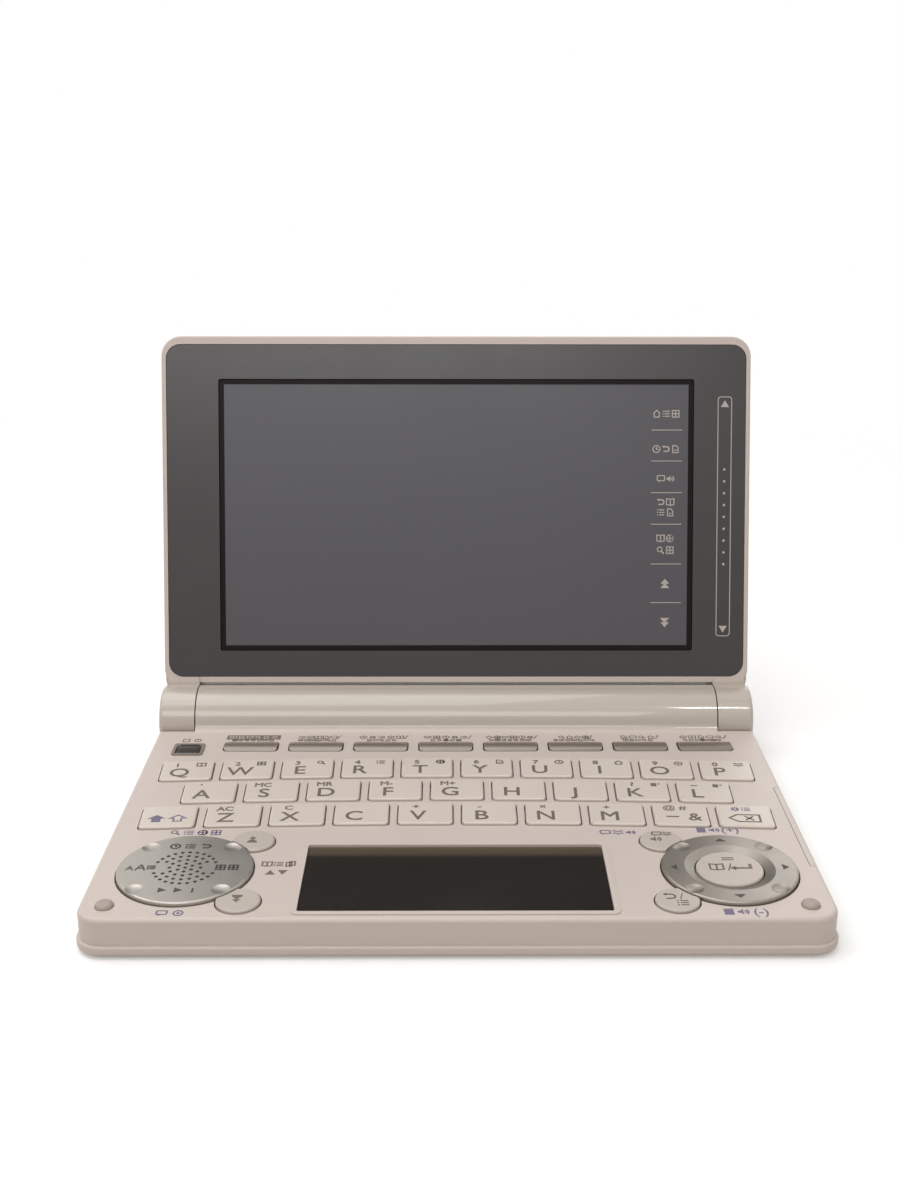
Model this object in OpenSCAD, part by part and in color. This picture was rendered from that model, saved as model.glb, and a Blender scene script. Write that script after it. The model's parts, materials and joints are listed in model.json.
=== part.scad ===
// Electronic dictionary: a clamshell with a letter keyboard, a small writing panel between
// two round controls, and a wide display in a lid that turns on a thick battery barrel.
// Millimetres, +Z up, +Y away from the user. It stands open on a table. The origin lies on
// the table, in the middle of the box that the open object fills.

/* [Base case] */
// Width of the keyboard deck
deck_w = 148; // [146:0.5:152]
// Height of the deck above the table
deck_z = 8.6; // [8.6:0.1:9.2]
// Thickness of the deck plate
deck_t = 1.5; // [1.2:0.1:1.8]
// Thickness of the side walls
wall = 1.6; // [1.2:0.1:1.8]
// Corner radius seen from above
corner_r = 5; // [4:0.5:7]
// Rounding of the deck's edge
edge_r = 0.9; // [0.6:0.1:1.3]
// Gap between the table and the floor of the lower case
foot_h = 0.6; // [0.6:0.1:0.8]
// Thickness of the floor
floor_t = 1.2; // [1:0.1:1.3]
// Height of the seam between the two half cases
seam_z = 2.8; // [2.6:0.1:3]
// How far the lower case stands out past the upper one
lip = 0.6; // [0.4:0.1:0.8]

/* [Hinge and battery barrel] */
// Hinge axis behind the front edge
hinge_y = 96.7; // [96.7:0.1:102]
// Hinge axis above the table
hinge_z = 8.7; // [8.7:0.05:9]
// Radius of the barrel and of the lid's knuckles
barrel_r = 8.2; // [8.1:0.05:8.25]
// From the side of the deck to the end of the barrel
knuckle_side = 9; // [8.5:0.1:9.8]
// Concave rounding between deck and barrel
fillet_r = 2.2; // [1.6:0.1:2.3]
// Gap at each end of the barrel
knuckle_gap = 0.3; // [0.2:0.05:0.4]
// Gap around a knuckle in the case
knuckle_room = 0.5; // [0.4:0.05:0.6]
// Radius of the hinge pins
pin_r = 2; // [1.6:0.1:2.4]
// Material left past each end of a hinge pin
pin_wall = 1.2; // [1.1:0.1:2]
// Running clearance around a pin
pin_clearance = 0.05; // [0.02:0.01:0.08]
// Diameter of a battery cell
cell_d = 14.2; // [13.8:0.1:14.3]
// Length of a battery cell
cell_l = 50.3; // [49.5:0.1:50.5]
// Room around the cells
cell_room = 0.2; // [0.15:0.05:0.3]
// Room for the contact and its spring at each end of the cells
contact_l = 6.7; // [6:0.1:7]
// Where the battery cover starts under the barrel and ends behind it, in degrees
cover_from = 262; // [258:1:266]
cover_to = 370; // [366:1:376]

/* [Lid] */
// Opening angle at rest, from closed
open_angle = 105.7; // [90:0.1:150]
// How far the lid stands out past each side of the deck
lid_over = 0.2; // [0:0.05:0.5]
// How far the closed lid stays behind the front edge of the deck
lid_inset = 0.5; // [0.2:0.1:0.8]
// Thickness of the lid
lid_t = 5.5; // [5.4:0.1:6.2]
// How far the bezel's face lies behind the hinge axis
face_back = 0.85; // [0.85:0.05:1.2]
// How far the pale rim stands in front of the bezel
rim_proud = 0.3; // [0.1:0.05:0.35]
// Rounding of the pale rim's front edges
rim_edge_r = 0.4; // [0.2:0.1:0.6]
// Gap between the lid's lower edge and the barrel
lid_gap = 0.6; // [0.5:0.05:0.8]
// Rounding of the lid's back edge
lid_edge_r = 2.4; // [1.5:0.1:2.6]
// Wall of the lid's back cover
lid_wall = 1.2; // [1:0.1:1.3]
// Rounding of the knuckles' outer ends
knuckle_edge_r = 1; // [0.4:0.1:1.5]
// Angle that the front frame wraps around each knuckle
knuckle_wrap = 53; // [45:1:60]
// Thickness of the front frame's wrap
wrap_t = 2.6; // [2:0.1:3]
// Width of the pale rim beside the dark bezel and above it
rim_w = 1.2; // [1.1:0.1:1.5]
rim_top = 2.1; // [1.9:0.1:2.4]
// Lower edge of the bezel above the hinge axis
bezel_z = 10.3; // [10.2:0.1:10.6]
// Thickness of the bezel
bezel_t = 1; // [0.8:0.1:1.1]
// Corner radius of the bezel
bezel_r = 3.6; // [2:0.1:5]
// Lit area of the display: width, height and lower edge
screen_w = 117.3; // [110:0.1:118]
screen_h = 66; // [62:0.1:66.5]
screen_z = 18.2; // [17.8:0.1:19]
// Dark margin between the lit area and the bezel
screen_margin = 1.35; // [1:0.05:1.5]
// How deep the display's glass lies behind the bezel's face
screen_deep = 0.5; // [0.3:0.05:0.6]
// Thickness of the display module
display_t = 2.5; // [2.2:0.1:2.7]

/* [Keys] */
// From the side of the deck to the field of the letter keys
key_side = 4; // [3.8:0.05:4.2]
// Space between neighbouring letter keys, and depth of a letter key
key_space = 2.1; // [1.8:0.05:2.4]
key_d = 9.8; // [9.2:0.1:10]
// Spacing of the letter rows
row_pitch = 11.6; // [11.5:0.05:11.7]
// Radius of the shallow arcs that the letter rows follow
row_arc_r = 1170; // [1000:10:2000]
// Front edge of the lowest letter row
keys_front = 38.3; // [38.2:0.1:38.6]
// Height of the keys above the deck, and of the shortcut keys
key_rise = 0.6; // [0.5:0.05:0.85]
shortcut_rise = 0.8; // [0.5:0.05:0.85]
// Gap between a key and its hole
key_gap = 0.3; // [0.25:0.01:0.32]
// Travel of every key
travel = 0.6; // [0.5:0.1:0.8]
// Flange under the deck that holds a key in: width and thickness
flange_w = 0.3; // [0.25:0.05:0.35]
flange_t = 0.7; // [0.6:0.1:0.8]
// Rounding of a letter key's corners and of its top edge
key_corner_r = 0.9; // [0.5:0.1:1.5]
key_edge_r = 0.4; // [0.2:0.05:0.5]
// Number of shortcut keys
shortcuts = 8; // [8:1:8]
// From the sides of the deck to the first and the last shortcut key
shortcut_left = 17.7; // [17.4:0.1:18]
shortcut_right = 7.3; // [7:0.1:7.6]
// Space between neighbouring shortcut keys, and depth of a shortcut key
shortcut_space = 2.95; // [2.4:0.05:3.2]
shortcut_d = 5; // [4.8:0.1:5.2]
// Middle of the row of shortcut keys in front of the hinge axis
shortcut_back = 17.85; // [17.7:0.05:17.95]
// Crown radius of a shortcut key
shortcut_crown = 4.2; // [4:0.1:6]
// Power key: centre from the left side and in front of the hinge axis
power_side = 9.2; // [9:0.1:9.4]
power_back = 19.7; // [19.5:0.1:19.8]
// Width and depth of the power key, and the raised frame around it
power_w = 5.4; // [5:0.1:5.6]
power_d = 4.4; // [3.6:0.1:4.4]
power_frame = 0.7; // [0.5:0.05:0.8]

/* [Round controls] */
// Centre of each round control, from the side and from the front
disc_side = 18.6; // [18.2:0.1:19]
disc_y = 18.5; // [18:0.1:19]
// Radius of the speaker disc and of the cursor ring
disc_r = 13.8; // [13.4:0.1:13.9]
// Height of the discs above the deck
disc_rise = 0.85; // [0.6:0.05:0.85]
// Inner edge of the cursor ring's flat face
dish_r = 9.2; // [8.6:0.1:9.6]
// Radius of the enter key
enter_r = 6.85; // [6.5:0.05:7]
// Radius of the four small round keys, and their offsets from the disc's centre
button_r = 4.4; // [4.2:0.1:4.6]
button_in = 12.4; // [12.2:0.1:12.5]
button_up = 12.1; // [11.8:0.1:12.3]
// Radius and depth of the thumb dimples near a disc's rim, and how far in they lie
dimple_r = 1.9; // [1.5:0.1:2.2]
dimple_deep = 0.4; // [0.2:0.1:0.6]
dimple_in = 1.7; // [1.2:0.1:2]
// Diameter of the sound holes, and the spacing of their rings
sound_hole_d = 0.8; // [0.6:0.05:0.9]
sound_pitch = 1.58; // [1.5:0.02:1.64]

/* [Writing panel] */
// From the sides of the deck to the window of the writing panel
pad_left = 42.7; // [42.4:0.1:43.6]
pad_right = 43.7; // [43.4:0.1:44.4]
// Depth of the window, and its front edge
pad_d = 26.4; // [25:0.1:26.6]
pad_front = 2.7; // [2.6:0.1:3.2]
// How far the panel reaches under the deck before and behind its window
pad_lip = 0.9; // [0.5:0.1:0.9]
// Raised border around the window
pad_border = 1.2; // [0.8:0.1:1.4]
border_rise = 0.25; // [0.15:0.05:0.35]
// How deep the panel lies under the deck's face
pad_deep = 0.3; // [0.2:0.05:0.5]

/* [Stylus] */
// Front and back end of the stylus head that shows in the deck's right shoulder
stylus_front = 20.4; // [20:0.1:22]
head_back = 56.2; // [54:0.1:58]
// Back end of the stylus
stylus_back = 84; // [82:0.5:85]
// Width of the stylus, inwards from the side of the case
head_w = 1.65; // [1.5:0.05:1.7]
stylus_w = 2.8; // [2.6:0.05:2.85]
// Height of the stylus shaft
stylus_h = 3; // [2.8:0.1:3.1]
// Room around the stylus in its pocket
stylus_gap = 0.15; // [0.12:0.01:0.2]

/* [Inside] */
// Thickness of the circuit board
board_t = 1; // [0.8:0.1:1.1]
// Thickness of the rubber key mat
mat_t = 0.5; // [0.4:0.1:0.6]
// Height and radius of a dome on the mat
dome_h = 0.5; // [0.4:0.1:0.6]
dome_r = 1.8; // [1.5:0.1:2]
// Radius of the loudspeaker
speaker_r = 9; // [8:0.1:9.4]
// Radius of a case screw's thread and head
screw_r = 0.95; // [0.8:0.05:1]
screw_head_r = 1.8; // [1.6:0.1:1.9]
// Radius of a screw boss
boss_r = 2.3; // [2.1:0.1:2.4]
// Earphone socket: place from the front, bore radius
socket_y = 55; // [54.6:0.1:55.4]
socket_r = 1.8; // [1.7:0.05:1.85]
// Length of the earphone socket's body
socket_l = 9; // [8:0.5:10]
// Front and middle case screws: from the side and from the front
screw_side = 5.5; // [5.3:0.1:5.7]
screw_front = 6; // [5.8:0.1:6.4]
// Rear case screws: in from the barrel's end, and clear of the barrel
screw_in = 5; // [4:0.5:6]
screw_clear = 3.1; // [3:0.1:3.2]
// Rubber bumper on the deck: place from the side and the front, radius, height
bumper_side = 5.2; // [5:0.1:5.4]
bumper_y = 5; // [4.6:0.1:6.2]
bumper_r = 1.85; // [1.6:0.05:1.9]
bumper_h = 0.85; // [0.6:0.05:0.85]
// Front rubber foot: place from the side and the front, radius
foot_side = 14; // [13:0.5:15]
foot_front = 9; // [8:0.5:10]
foot_r = 4; // [3:0.5:4]

/* [Hidden] */
$fn = 64;
cut = 0.1;      // how far a cutting solid reaches past the face that it cuts
press_gap = 0.2; // left between a pressed key and its dome
slip = 0.1;     // clearance between still parts that are put together

letter_rows = [
    ["q", "w", "e", "r", "t", "y", "u", "i", "o", "p"],
    ["a", "s", "d", "f", "g", "h", "j", "k", "l"],
    ["shift", "z", "x", "c", "v", "b", "n", "m", "symbol", "delete"]
];
round_keys = [["page_up_key", -1, 1], ["page_down_key", -1, -1], ["voice_key", 1, 1], ["back_key", 1, -1]];

shell_colour = "#CFC6BD";
key_colour = "#DDD3C9";
metal_colour = "#A8A8A6";
dark_colour = "#4B4543";

// Heights, from the deck down to the board
plate_z = deck_z - deck_t;
flange_top = plate_z - slip;
flange_z = flange_top - flange_t;
dome_top = flange_z - travel - press_gap;
mat_top = dome_top - dome_h;
mat_z = mat_top - mat_t;
board_top = mat_z - slip / 2;
board_z = board_top - board_t;
floor_z = foot_h + floor_t;
key_top = deck_z + key_rise;
shortcut_top = deck_z + shortcut_rise;

// Widths, from the deck to what stands on it or turns with it
barrel_w = deck_w - 2 * knuckle_side;
bay_w = 2 * (cell_l + contact_l);
boss_w = (barrel_w - bay_w) / 2;
slot_l = screw_head_r + 0.6; // cross slot of a case screw
socket_w = 6.6;
socket_room = 2 * (wall + slip + socket_l + 1.3); // notch for the socket, across the side wall
lid_w = deck_w + 2 * lid_over;
knuckle_l = (lid_w - barrel_w) / 2 - knuckle_gap;
pin_in = boss_w - pin_wall;
pin_out = knuckle_gap + knuckle_l - pin_wall;
key_pitch = (deck_w - 2 * key_side) / len(letter_rows[0]);
key_w = key_pitch - key_space;
shortcut_pitch = (deck_w - shortcut_left - shortcut_right + shortcut_space) / shortcuts;
shortcut_w = shortcut_pitch - shortcut_space;
shortcut_x = (shortcut_left - shortcut_right) / 2;
shortcut_y = hinge_y - shortcut_back;
power_x = power_side - deck_w / 2;
power_y = hinge_y - power_back;
disc_x = deck_w / 2 - disc_side;
pad_w = deck_w - pad_left - pad_right;
pad_x = (pad_left - pad_right) / 2;
pad_y = pad_front + pad_d / 2;
foot_x = deck_w / 2 - foot_side;
bumper_x = deck_w / 2 - bumper_side;
pad_edge = 1.5;  // how far the panel reaches under the deck at its sides
rear_pad_x = (bay_w + barrel_w) / 4;
rear_pad_w = boss_w - 2;
rear_pad_d = 5;
rear_pad_h = 1.2;
foot_sink = 0.3;

lid_top = hinge_y - lid_inset;
bezel_w = lid_w - 2 * rim_w;
bezel_h = lid_top - rim_top - bezel_z;
lean = open_angle - 90;
lid_back = face_back + lid_t;
bay_r = cell_d / 2 + cell_room;
cap_h = 1.4; // a cell's bare end cap
cap_r = 2.7;
inner_w = deck_w - 2 * wall;
stylus_x = deck_w / 2;
pocket_x = stylus_x - stylus_w - stylus_gap;
liner_t = 0.8;
bumper_sink = 0.3;
stylus_z = seam_z + 0.9;
socket_z = plate_z - socket_r - 0.35;

// Depth of the open object, so that the origin can lie in its middle
lid_reach = hinge_y + lid_top * sin(lean) + lid_back * cos(lean);
front_y = (lip - lid_reach) / 2 + lid_edge_r * (1 - cos(lean)) / 2;

screw_spots = [for (s = [-1, 1]) each [
    [s * (deck_w / 2 - screw_side), screw_front],
    [s * (pad_w / 2 + pad_border + disc_x - disc_r) / 2, disc_y],
    [s * (barrel_w / 2 - screw_in), hinge_y - barrel_r - screw_clear]
]];
fillet_y = hinge_y - sqrt(pow(barrel_r + fillet_r, 2) - pow(deck_z + fillet_r - hinge_z, 2));
touch = barrel_r / (barrel_r + fillet_r); // where the fillet meets the barrel

function letter_x(r, i) = (i - (len(letter_rows[r]) - 1) / 2) * key_pitch;
function letter_y(r) = keys_front + key_d / 2 + (2 - r) * row_pitch;
// How far a letter row has come forward at x, and how it is turned there
function row_bow(x) = x * x / (2 * row_arc_r);
function row_turn(x) = -atan(x / row_arc_r);
function shortcut_at(i) = shortcut_x + (i - (shortcuts + 1) / 2) * shortcut_pitch;

// ---- Helpers ----

// Base parts are drawn from the front edge of the deck
module from_front() translate([0, front_y, 0]) children();

// Lid parts are drawn upright, from the hinge axis
module on_lid() from_front() translate([0, hinge_y, hinge_z]) rotate([-lean, 0, 0]) children();

// An outline in Y and Z, drawn out along X
module along_x(x0, x1) translate([x0, 0, 0]) rotate([90, 0, 90]) linear_extrude(x1 - x0) children();

// An outline in X and Z, drawn out along Y
module along_y(y0, y1) translate([0, y1, 0]) rotate([90, 0, 0]) linear_extrude(y1 - y0) children();

module rect(w, d, r) {
    square([w - 2 * r, d], center = true);
    square([w, d - 2 * r], center = true);
    for (x = [-1, 1], y = [-1, 1]) translate([x * (w / 2 - r), y * (d / 2 - r)]) circle(r);
}

// A rounded plate that fills w by d, from z0 to z1
module plate(w, d, r, z0, z1) translate([0, 0, z0]) linear_extrude(z1 - z0) rect(w, d, r);

// Section of a slab with rounded upper and lower edges. A radius of 0 leaves an edge sharp.
module edge_section(w, z0, z1, top_r, low_r) intersection() {
    translate([-w / 2, z0]) square([w, z1 - z0]);
    union() {
        translate([-w / 2, z0 + low_r]) square([w, z1 - z0 - top_r - low_r]);
        translate([-w / 2 + top_r, z0 + low_r]) square([w - 2 * top_r, z1 - z0 - low_r]);
        translate([-w / 2 + low_r, z0]) square([w - 2 * low_r, z1 - z0 - top_r]);
        for (x = [-1, 1]) {
            if (top_r > 0) translate([x * (w / 2 - top_r), z1 - top_r]) circle(top_r);
            if (low_r > 0) translate([x * (w / 2 - low_r), z0 + low_r]) circle(low_r);
        }
    }
}

// A slab with rounded corners and rounded edges, centred on the origin
module slab(w, d, r, z0, z1, top_r, low_r) {
    along_y(-d / 2 + r, d / 2 - r) edge_section(w, z0, z1, top_r, low_r);
    along_x(-w / 2 + r, w / 2 - r) edge_section(d, z0, z1, top_r, low_r);
    for (x = [-1, 1], y = [-1, 1]) translate([x * (w / 2 - r), y * (d / 2 - r), 0]) rotate_extrude()
        intersection() {
            edge_section(2 * r, z0, z1, top_r, low_r);
            translate([0, z0]) square([r, z1 - z0]);
        }
}

// A ring sector around the hinge axis, from angle a0 to a1
module sector(r_in, r_out, a0, a1) difference() {
    intersection() {
        circle(r_out);
        polygon(concat([[0, 0]], [for (i = [0 : 6]) let (a = a0 + (a1 - a0) * i / 6)
            2 * r_out * [cos(a), sin(a)]]));
    }
    if (r_in > 0) circle(r_in);
}

module at_axis() translate([hinge_y, hinge_z]) children();

// Hollow of the case from z0 to z1. It leaves the barrel, and a wall around each knuckle.
module bay(z0, z1) difference() {
    translate([0, (wall + hinge_y) / 2, 0])
        plate(inner_w, hinge_y - wall, corner_r - wall, z0, z1);
    along_x(-barrel_w / 2, barrel_w / 2) at_axis() circle(barrel_r);
    for (x = [-1, 1]) translate([x * (barrel_w + inner_w) / 4, 0, 0])
        along_x(-knuckle_side / 2 - wall, knuckle_side / 2 + wall)
            at_axis() circle(barrel_r + knuckle_room + wall);
}

// Room that the lid's knuckles turn in
module knuckle_space() for (x = [-1, 1]) translate([x * deck_w / 2, 0, 0])
    along_x(-knuckle_side, knuckle_side) at_axis() circle(barrel_r + knuckle_room);

// Outline of one half of the case, z0 to z1, with the barrel
module case_form(out, z0, z1, top_r, low_r) {
    translate([0, (hinge_y - out) / 2, 0])
        slab(deck_w + 2 * out, hinge_y + out, corner_r + out, z0, z1, top_r, low_r);
}

// ---- Keys ----

// Letter rows follow shallow arcs, so that their ends come towards the user
module at_letter(r, i) translate([letter_x(r, i), letter_y(r) - row_bow(letter_x(r, i)), 0])
    rotate([0, 0, row_turn(letter_x(r, i))]) children();

// Outlines of the holes in the deck, grown by g around each key
module letter_outline(g) for (r = [0 : 2]) for (i = [0 : len(letter_rows[r]) - 1])
    at_letter(r, i) rect(key_w + 2 * g, key_d + 2 * g, key_corner_r + g);

module shortcut_outline(g) for (i = [1 : shortcuts])
    translate([shortcut_at(i), shortcut_y]) rect(shortcut_w + 2 * g, shortcut_d + 2 * g, key_corner_r + g);

module power_outline(g) translate([power_x, power_y]) rect(power_w + 2 * g, power_d + 2 * g, key_edge_r + g);

module disc_outline(g) for (x = [-1, 1]) translate([x * disc_x, disc_y]) circle(disc_r + g);

module round_outline(g) for (k = round_keys)
    translate([k[1] * (disc_x - button_in), disc_y + k[2] * button_up]) circle(button_r + g);

// A key with a flat top and rounded edges
module flat_key(w, d, r, top_z, edge) {
    intersection() {
        plate(w, d, r, flange_z, top_z);
        along_y(-d / 2, d / 2) edge_section(w, flange_z, top_z, edge, 0);
        along_x(-w / 2, w / 2) edge_section(d, flange_z, top_z, edge, 0);
    }
    plate(w + 2 * (key_gap + flange_w), d + 2 * (key_gap + flange_w), r + key_gap + flange_w,
        flange_z, flange_top);
}

module letter_key(r, i) color(key_colour) from_front() at_letter(r, i)
    flat_key(key_w, key_d, key_corner_r, key_top, key_edge_r);

// A shortcut key is a bar with a round crown from front to back
module shortcut_key(i) color(metal_colour) from_front() translate([shortcut_at(i), shortcut_y, 0]) {
    intersection() {
        plate(shortcut_w, shortcut_d, key_corner_r, flange_z, shortcut_top);
        along_y(-shortcut_d / 2, shortcut_d / 2)
            edge_section(shortcut_w, flange_z, shortcut_top, key_edge_r, 0);
        along_x(-shortcut_w / 2, shortcut_w / 2) union() {
            translate([0, shortcut_top - shortcut_crown]) circle(shortcut_crown);
            translate([-shortcut_d, flange_z]) square([2 * shortcut_d, shortcut_top - flange_z - 1.2]);
        }
    }
    plate(shortcut_w + 2 * (key_gap + flange_w), shortcut_d + 2 * (key_gap + flange_w),
        key_corner_r + key_gap + flange_w, flange_z, flange_top);
}

module power_key() color("#2B2826") from_front() translate([power_x, power_y, 0])
    flat_key(power_w, power_d, key_edge_r, deck_z + border_rise, key_edge_r / 2);

// Section of a round key, from radius r_in to r
module round_section(r_in, r, top_z, edge) intersection() {
    edge_section(2 * r, flange_z, top_z, edge, 0);
    translate([r_in, flange_z]) square([r - r_in, top_z - flange_z]);
}

// Flange of a disc: it keeps clear of the two small round keys beside it
module disc_flange(side, r_in) translate([0, 0, flange_z]) linear_extrude(flange_t) difference() {
    circle(disc_r + key_gap + flange_w);
    circle(r_in);
    for (y = [-1, 1]) translate([-side * button_in, y * button_up])
        circle(button_r + 2 * key_gap + 2 * flange_w);
}

// Thumb dimples in the rim, at the diagonals
module dimples() {
    ball_r = (dimple_r * dimple_r + dimple_deep * dimple_deep) / (2 * dimple_deep);
    for (a = [45 : 90 : 315]) rotate(a)
        translate([disc_r - dimple_in, 0, deck_z + disc_rise + ball_r - dimple_deep]) sphere(ball_r);
}

// Sound holes in rings. The outer two rings leave room at both sides for the key's signs.
module sound_holes() {
    ring_counts = [6, 12, 18, 26];
    circle(sound_hole_d / 2);
    for (ring = [1 : 4]) for (i = [1 : ring_counts[ring - 1]]) {
        a = 90 + 360 * i / ring_counts[ring - 1];
        if (ring < 3 || abs(sin(a)) > 0.25)
            rotate(a) translate([ring * sound_pitch, 0]) circle(sound_hole_d / 2);
    }
}

module speaker_disc() color(metal_colour) from_front() translate([-disc_x, disc_y, 0]) {
    difference() {
        rotate_extrude() round_section(0, disc_r, deck_z + disc_rise, key_edge_r);
        dimples();
        // a cup under the face gives the loudspeaker its air
        translate([0, 0, flange_z - cut]) cylinder(r = speaker_r, h = deck_z - flange_z - flange_t);
        translate([0, 0, flange_z]) linear_extrude(disc_r) sound_holes();
    }
    disc_flange(-1, disc_r - 1);
}

module cursor_ring() color(metal_colour) from_front() translate([disc_x, disc_y, 0]) {
    difference() {
        rotate_extrude() difference() {
            round_section(enter_r + key_gap, disc_r, deck_z + disc_rise, key_edge_r);
            polygon([[enter_r, deck_z + cut], [enter_r, key_top + 1], [dish_r, key_top + 1],
                [dish_r, deck_z + disc_rise], [enter_r + key_gap, deck_z + cut]]);
        }
        dimples();
        // the enter key's flange sits in here
        translate([0, 0, flange_z - cut])
            cylinder(r = enter_r + 2 * key_gap + flange_w, h = flange_t + travel + 2 * cut);
    }
    disc_flange(1, disc_r - 1);
}

module enter_key() color(key_colour) from_front() translate([disc_x, disc_y, 0]) {
    rotate_extrude() round_section(0, enter_r, key_top, key_edge_r);
    translate([0, 0, flange_z]) cylinder(r = enter_r + key_gap + flange_w, h = flange_t - slip);
}

// A small round key, hollowed on the side where it meets the disc
module round_key(k) color(key_colour) from_front() difference() {
    translate([k[1] * (disc_x - button_in), disc_y + k[2] * button_up, 0]) {
        rotate_extrude() round_section(0, button_r, key_top, key_edge_r);
        translate([0, 0, flange_z]) cylinder(r = button_r + key_gap + flange_w, h = flange_t);
    }
    translate([k[1] * disc_x, disc_y, flange_z - cut]) cylinder(r = disc_r + key_gap + slip, h = key_top);
    // the flange ends at the front wall of the case
    translate([-deck_w / 2, 0, flange_z - cut]) cube([deck_w, wall + slip, flange_t + cut]);
}

// ---- Base ----

// Opening for the battery cover
module cover_space() along_x(-bay_w / 2, bay_w / 2) at_axis() sector(0, barrel_r + 1, cover_from, cover_to);

module cell_space() along_x(-bay_w / 2, bay_w / 2) at_axis() circle(bay_r);

// The shaft lies in the side wall. The head also shows in the shoulder of the deck.
module stylus_form(g) {
    translate([stylus_x - stylus_w - g, stylus_front - g, stylus_z - g])
        cube([stylus_w + g + 1, stylus_back - stylus_front + 2 * g, stylus_h + 2 * g]);
    translate([stylus_x - head_w - g, stylus_front - g, stylus_z - g])
        cube([head_w + g + 1, head_back - stylus_front + 2 * g, deck_z]);
}

module upper_case() color(shell_colour) from_front() difference() {
    union() {
        difference() {
            union() {
                case_form(0, seam_z, deck_z, edge_r, 0);
                along_x(-barrel_w / 2, barrel_w / 2) {
                    intersection() {
                        at_axis() circle(barrel_r);
                        translate([hinge_y - 2 * barrel_r, seam_z]) square([4 * barrel_r, 4 * barrel_r]);
                    }
                    difference() {
                        polygon([
                            [fillet_y, plate_z],
                            [fillet_y, deck_z],
                            [hinge_y + (fillet_y - hinge_y) * touch,
                                hinge_z + (deck_z + fillet_r - hinge_z) * touch],
                            [hinge_y, plate_z]
                        ]);
                        translate([fillet_y, deck_z + fillet_r]) circle(fillet_r);
                    }
                }
            }
            bay(seam_z - cut, plate_z);
        }
        // border of the writing panel and frame of the power key
        translate([pad_x, pad_y, 0])
            plate(pad_w + 2 * pad_border, pad_d + 2 * pad_border, 1.5, plate_z, deck_z + border_rise);
        translate([power_x, power_y, 0]) plate(power_w + 2 * (key_gap + power_frame),
            power_d + 2 * (key_gap + power_frame), 0.8, plate_z, deck_z + border_rise);
        for (s = screw_spots) translate([s[0], s[1], board_top + slip])
            cylinder(r = boss_r, h = deck_z - board_top - 1);
        // liner between the stylus pocket and the inside
        translate([pocket_x - liner_t, stylus_front - liner_t, seam_z])
            cube([stylus_x - wall / 2 - pocket_x + liner_t, stylus_back - stylus_front + 2 * liner_t,
                plate_z - seam_z + cut]);
    }
    translate([0, 0, plate_z - cut]) linear_extrude(deck_t + 1) {
        letter_outline(key_gap);
        shortcut_outline(key_gap);
        power_outline(key_gap);
        disc_outline(key_gap);
        round_outline(key_gap);
        translate([pad_x, pad_y]) rect(pad_w, pad_d, 0.5);
    }
    cover_space();
    cell_space();
    knuckle_space();
    for (x = [-1, 1]) translate([x * (bay_w + barrel_w) / 4, 0, 0])
        along_x(-boss_w, boss_w) at_axis() circle(pin_r + pin_clearance);
    stylus_form(stylus_gap);
    for (s = screw_spots) translate([s[0], s[1], board_top])
        cylinder(r = screw_r + slip / 2, h = plate_z - board_top - 0.2);
    for (x = [-1, 1]) translate([x * bumper_x, bumper_y, deck_z - bumper_sink])
        cylinder(r = bumper_r + slip / 2, h = 1);
    translate([-deck_w / 2 - 1, socket_y, socket_z]) rotate([0, 90, 0])
        cylinder(r = socket_r + slip, h = wall + 2);
}

module lower_case() color(shell_colour) from_front() difference() {
    union() {
        difference() {
            union() {
                case_form(lip, foot_h, seam_z, 0.5, 0.9);
                along_x(-barrel_w / 2, barrel_w / 2) intersection() {
                    at_axis() circle(barrel_r);
                    translate([hinge_y - 2 * barrel_r, -barrel_r]) square([4 * barrel_r, barrel_r + seam_z]);
                }
            }
            bay(floor_z, seam_z + cut);
        }
        for (s = screw_spots) translate([s[0], s[1], foot_h + 0.2])
            cylinder(r = boss_r + 0.7, h = board_z - foot_h - 0.2);
    }
    cover_space();
    cell_space();
    knuckle_space();
    for (s = screw_spots) translate([s[0], s[1], 0]) {
        cylinder(r = screw_r + 2 * slip, h = deck_z);
        cylinder(r = screw_head_r + slip, h = foot_h + 1.4);
    }
    for (x = [-1, 1]) {
        translate([x * foot_x, foot_front, 0]) cylinder(r = foot_r + slip, h = foot_h + foot_sink);
        translate([x * rear_pad_x, hinge_y, 0]) plate(rear_pad_w, rear_pad_d, 1, 0, rear_pad_h);
    }
}

// A shell over the lower rear quarter of the barrel, drawn off to the rear
module battery_cover() color(shell_colour) from_front()
    along_x(-bay_w / 2 + slip, bay_w / 2 - slip)
        at_axis() sector(bay_r, barrel_r, cover_from + 0.8, cover_to - 0.8);

// Two cells lie end to end in the barrel
module battery_cells() from_front() for (x = [-1, 0]) translate([x * (cell_l + 0.4) + 0.2, hinge_y, hinge_z])
    rotate([0, 90, 0]) {
        color("#3F5C86") cylinder(r = cell_d / 2, h = cell_l - cap_h);
        color(metal_colour) translate([0, 0, cell_l - cap_h - cut]) cylinder(r = cap_r, h = cap_h + cut);
    }

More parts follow.
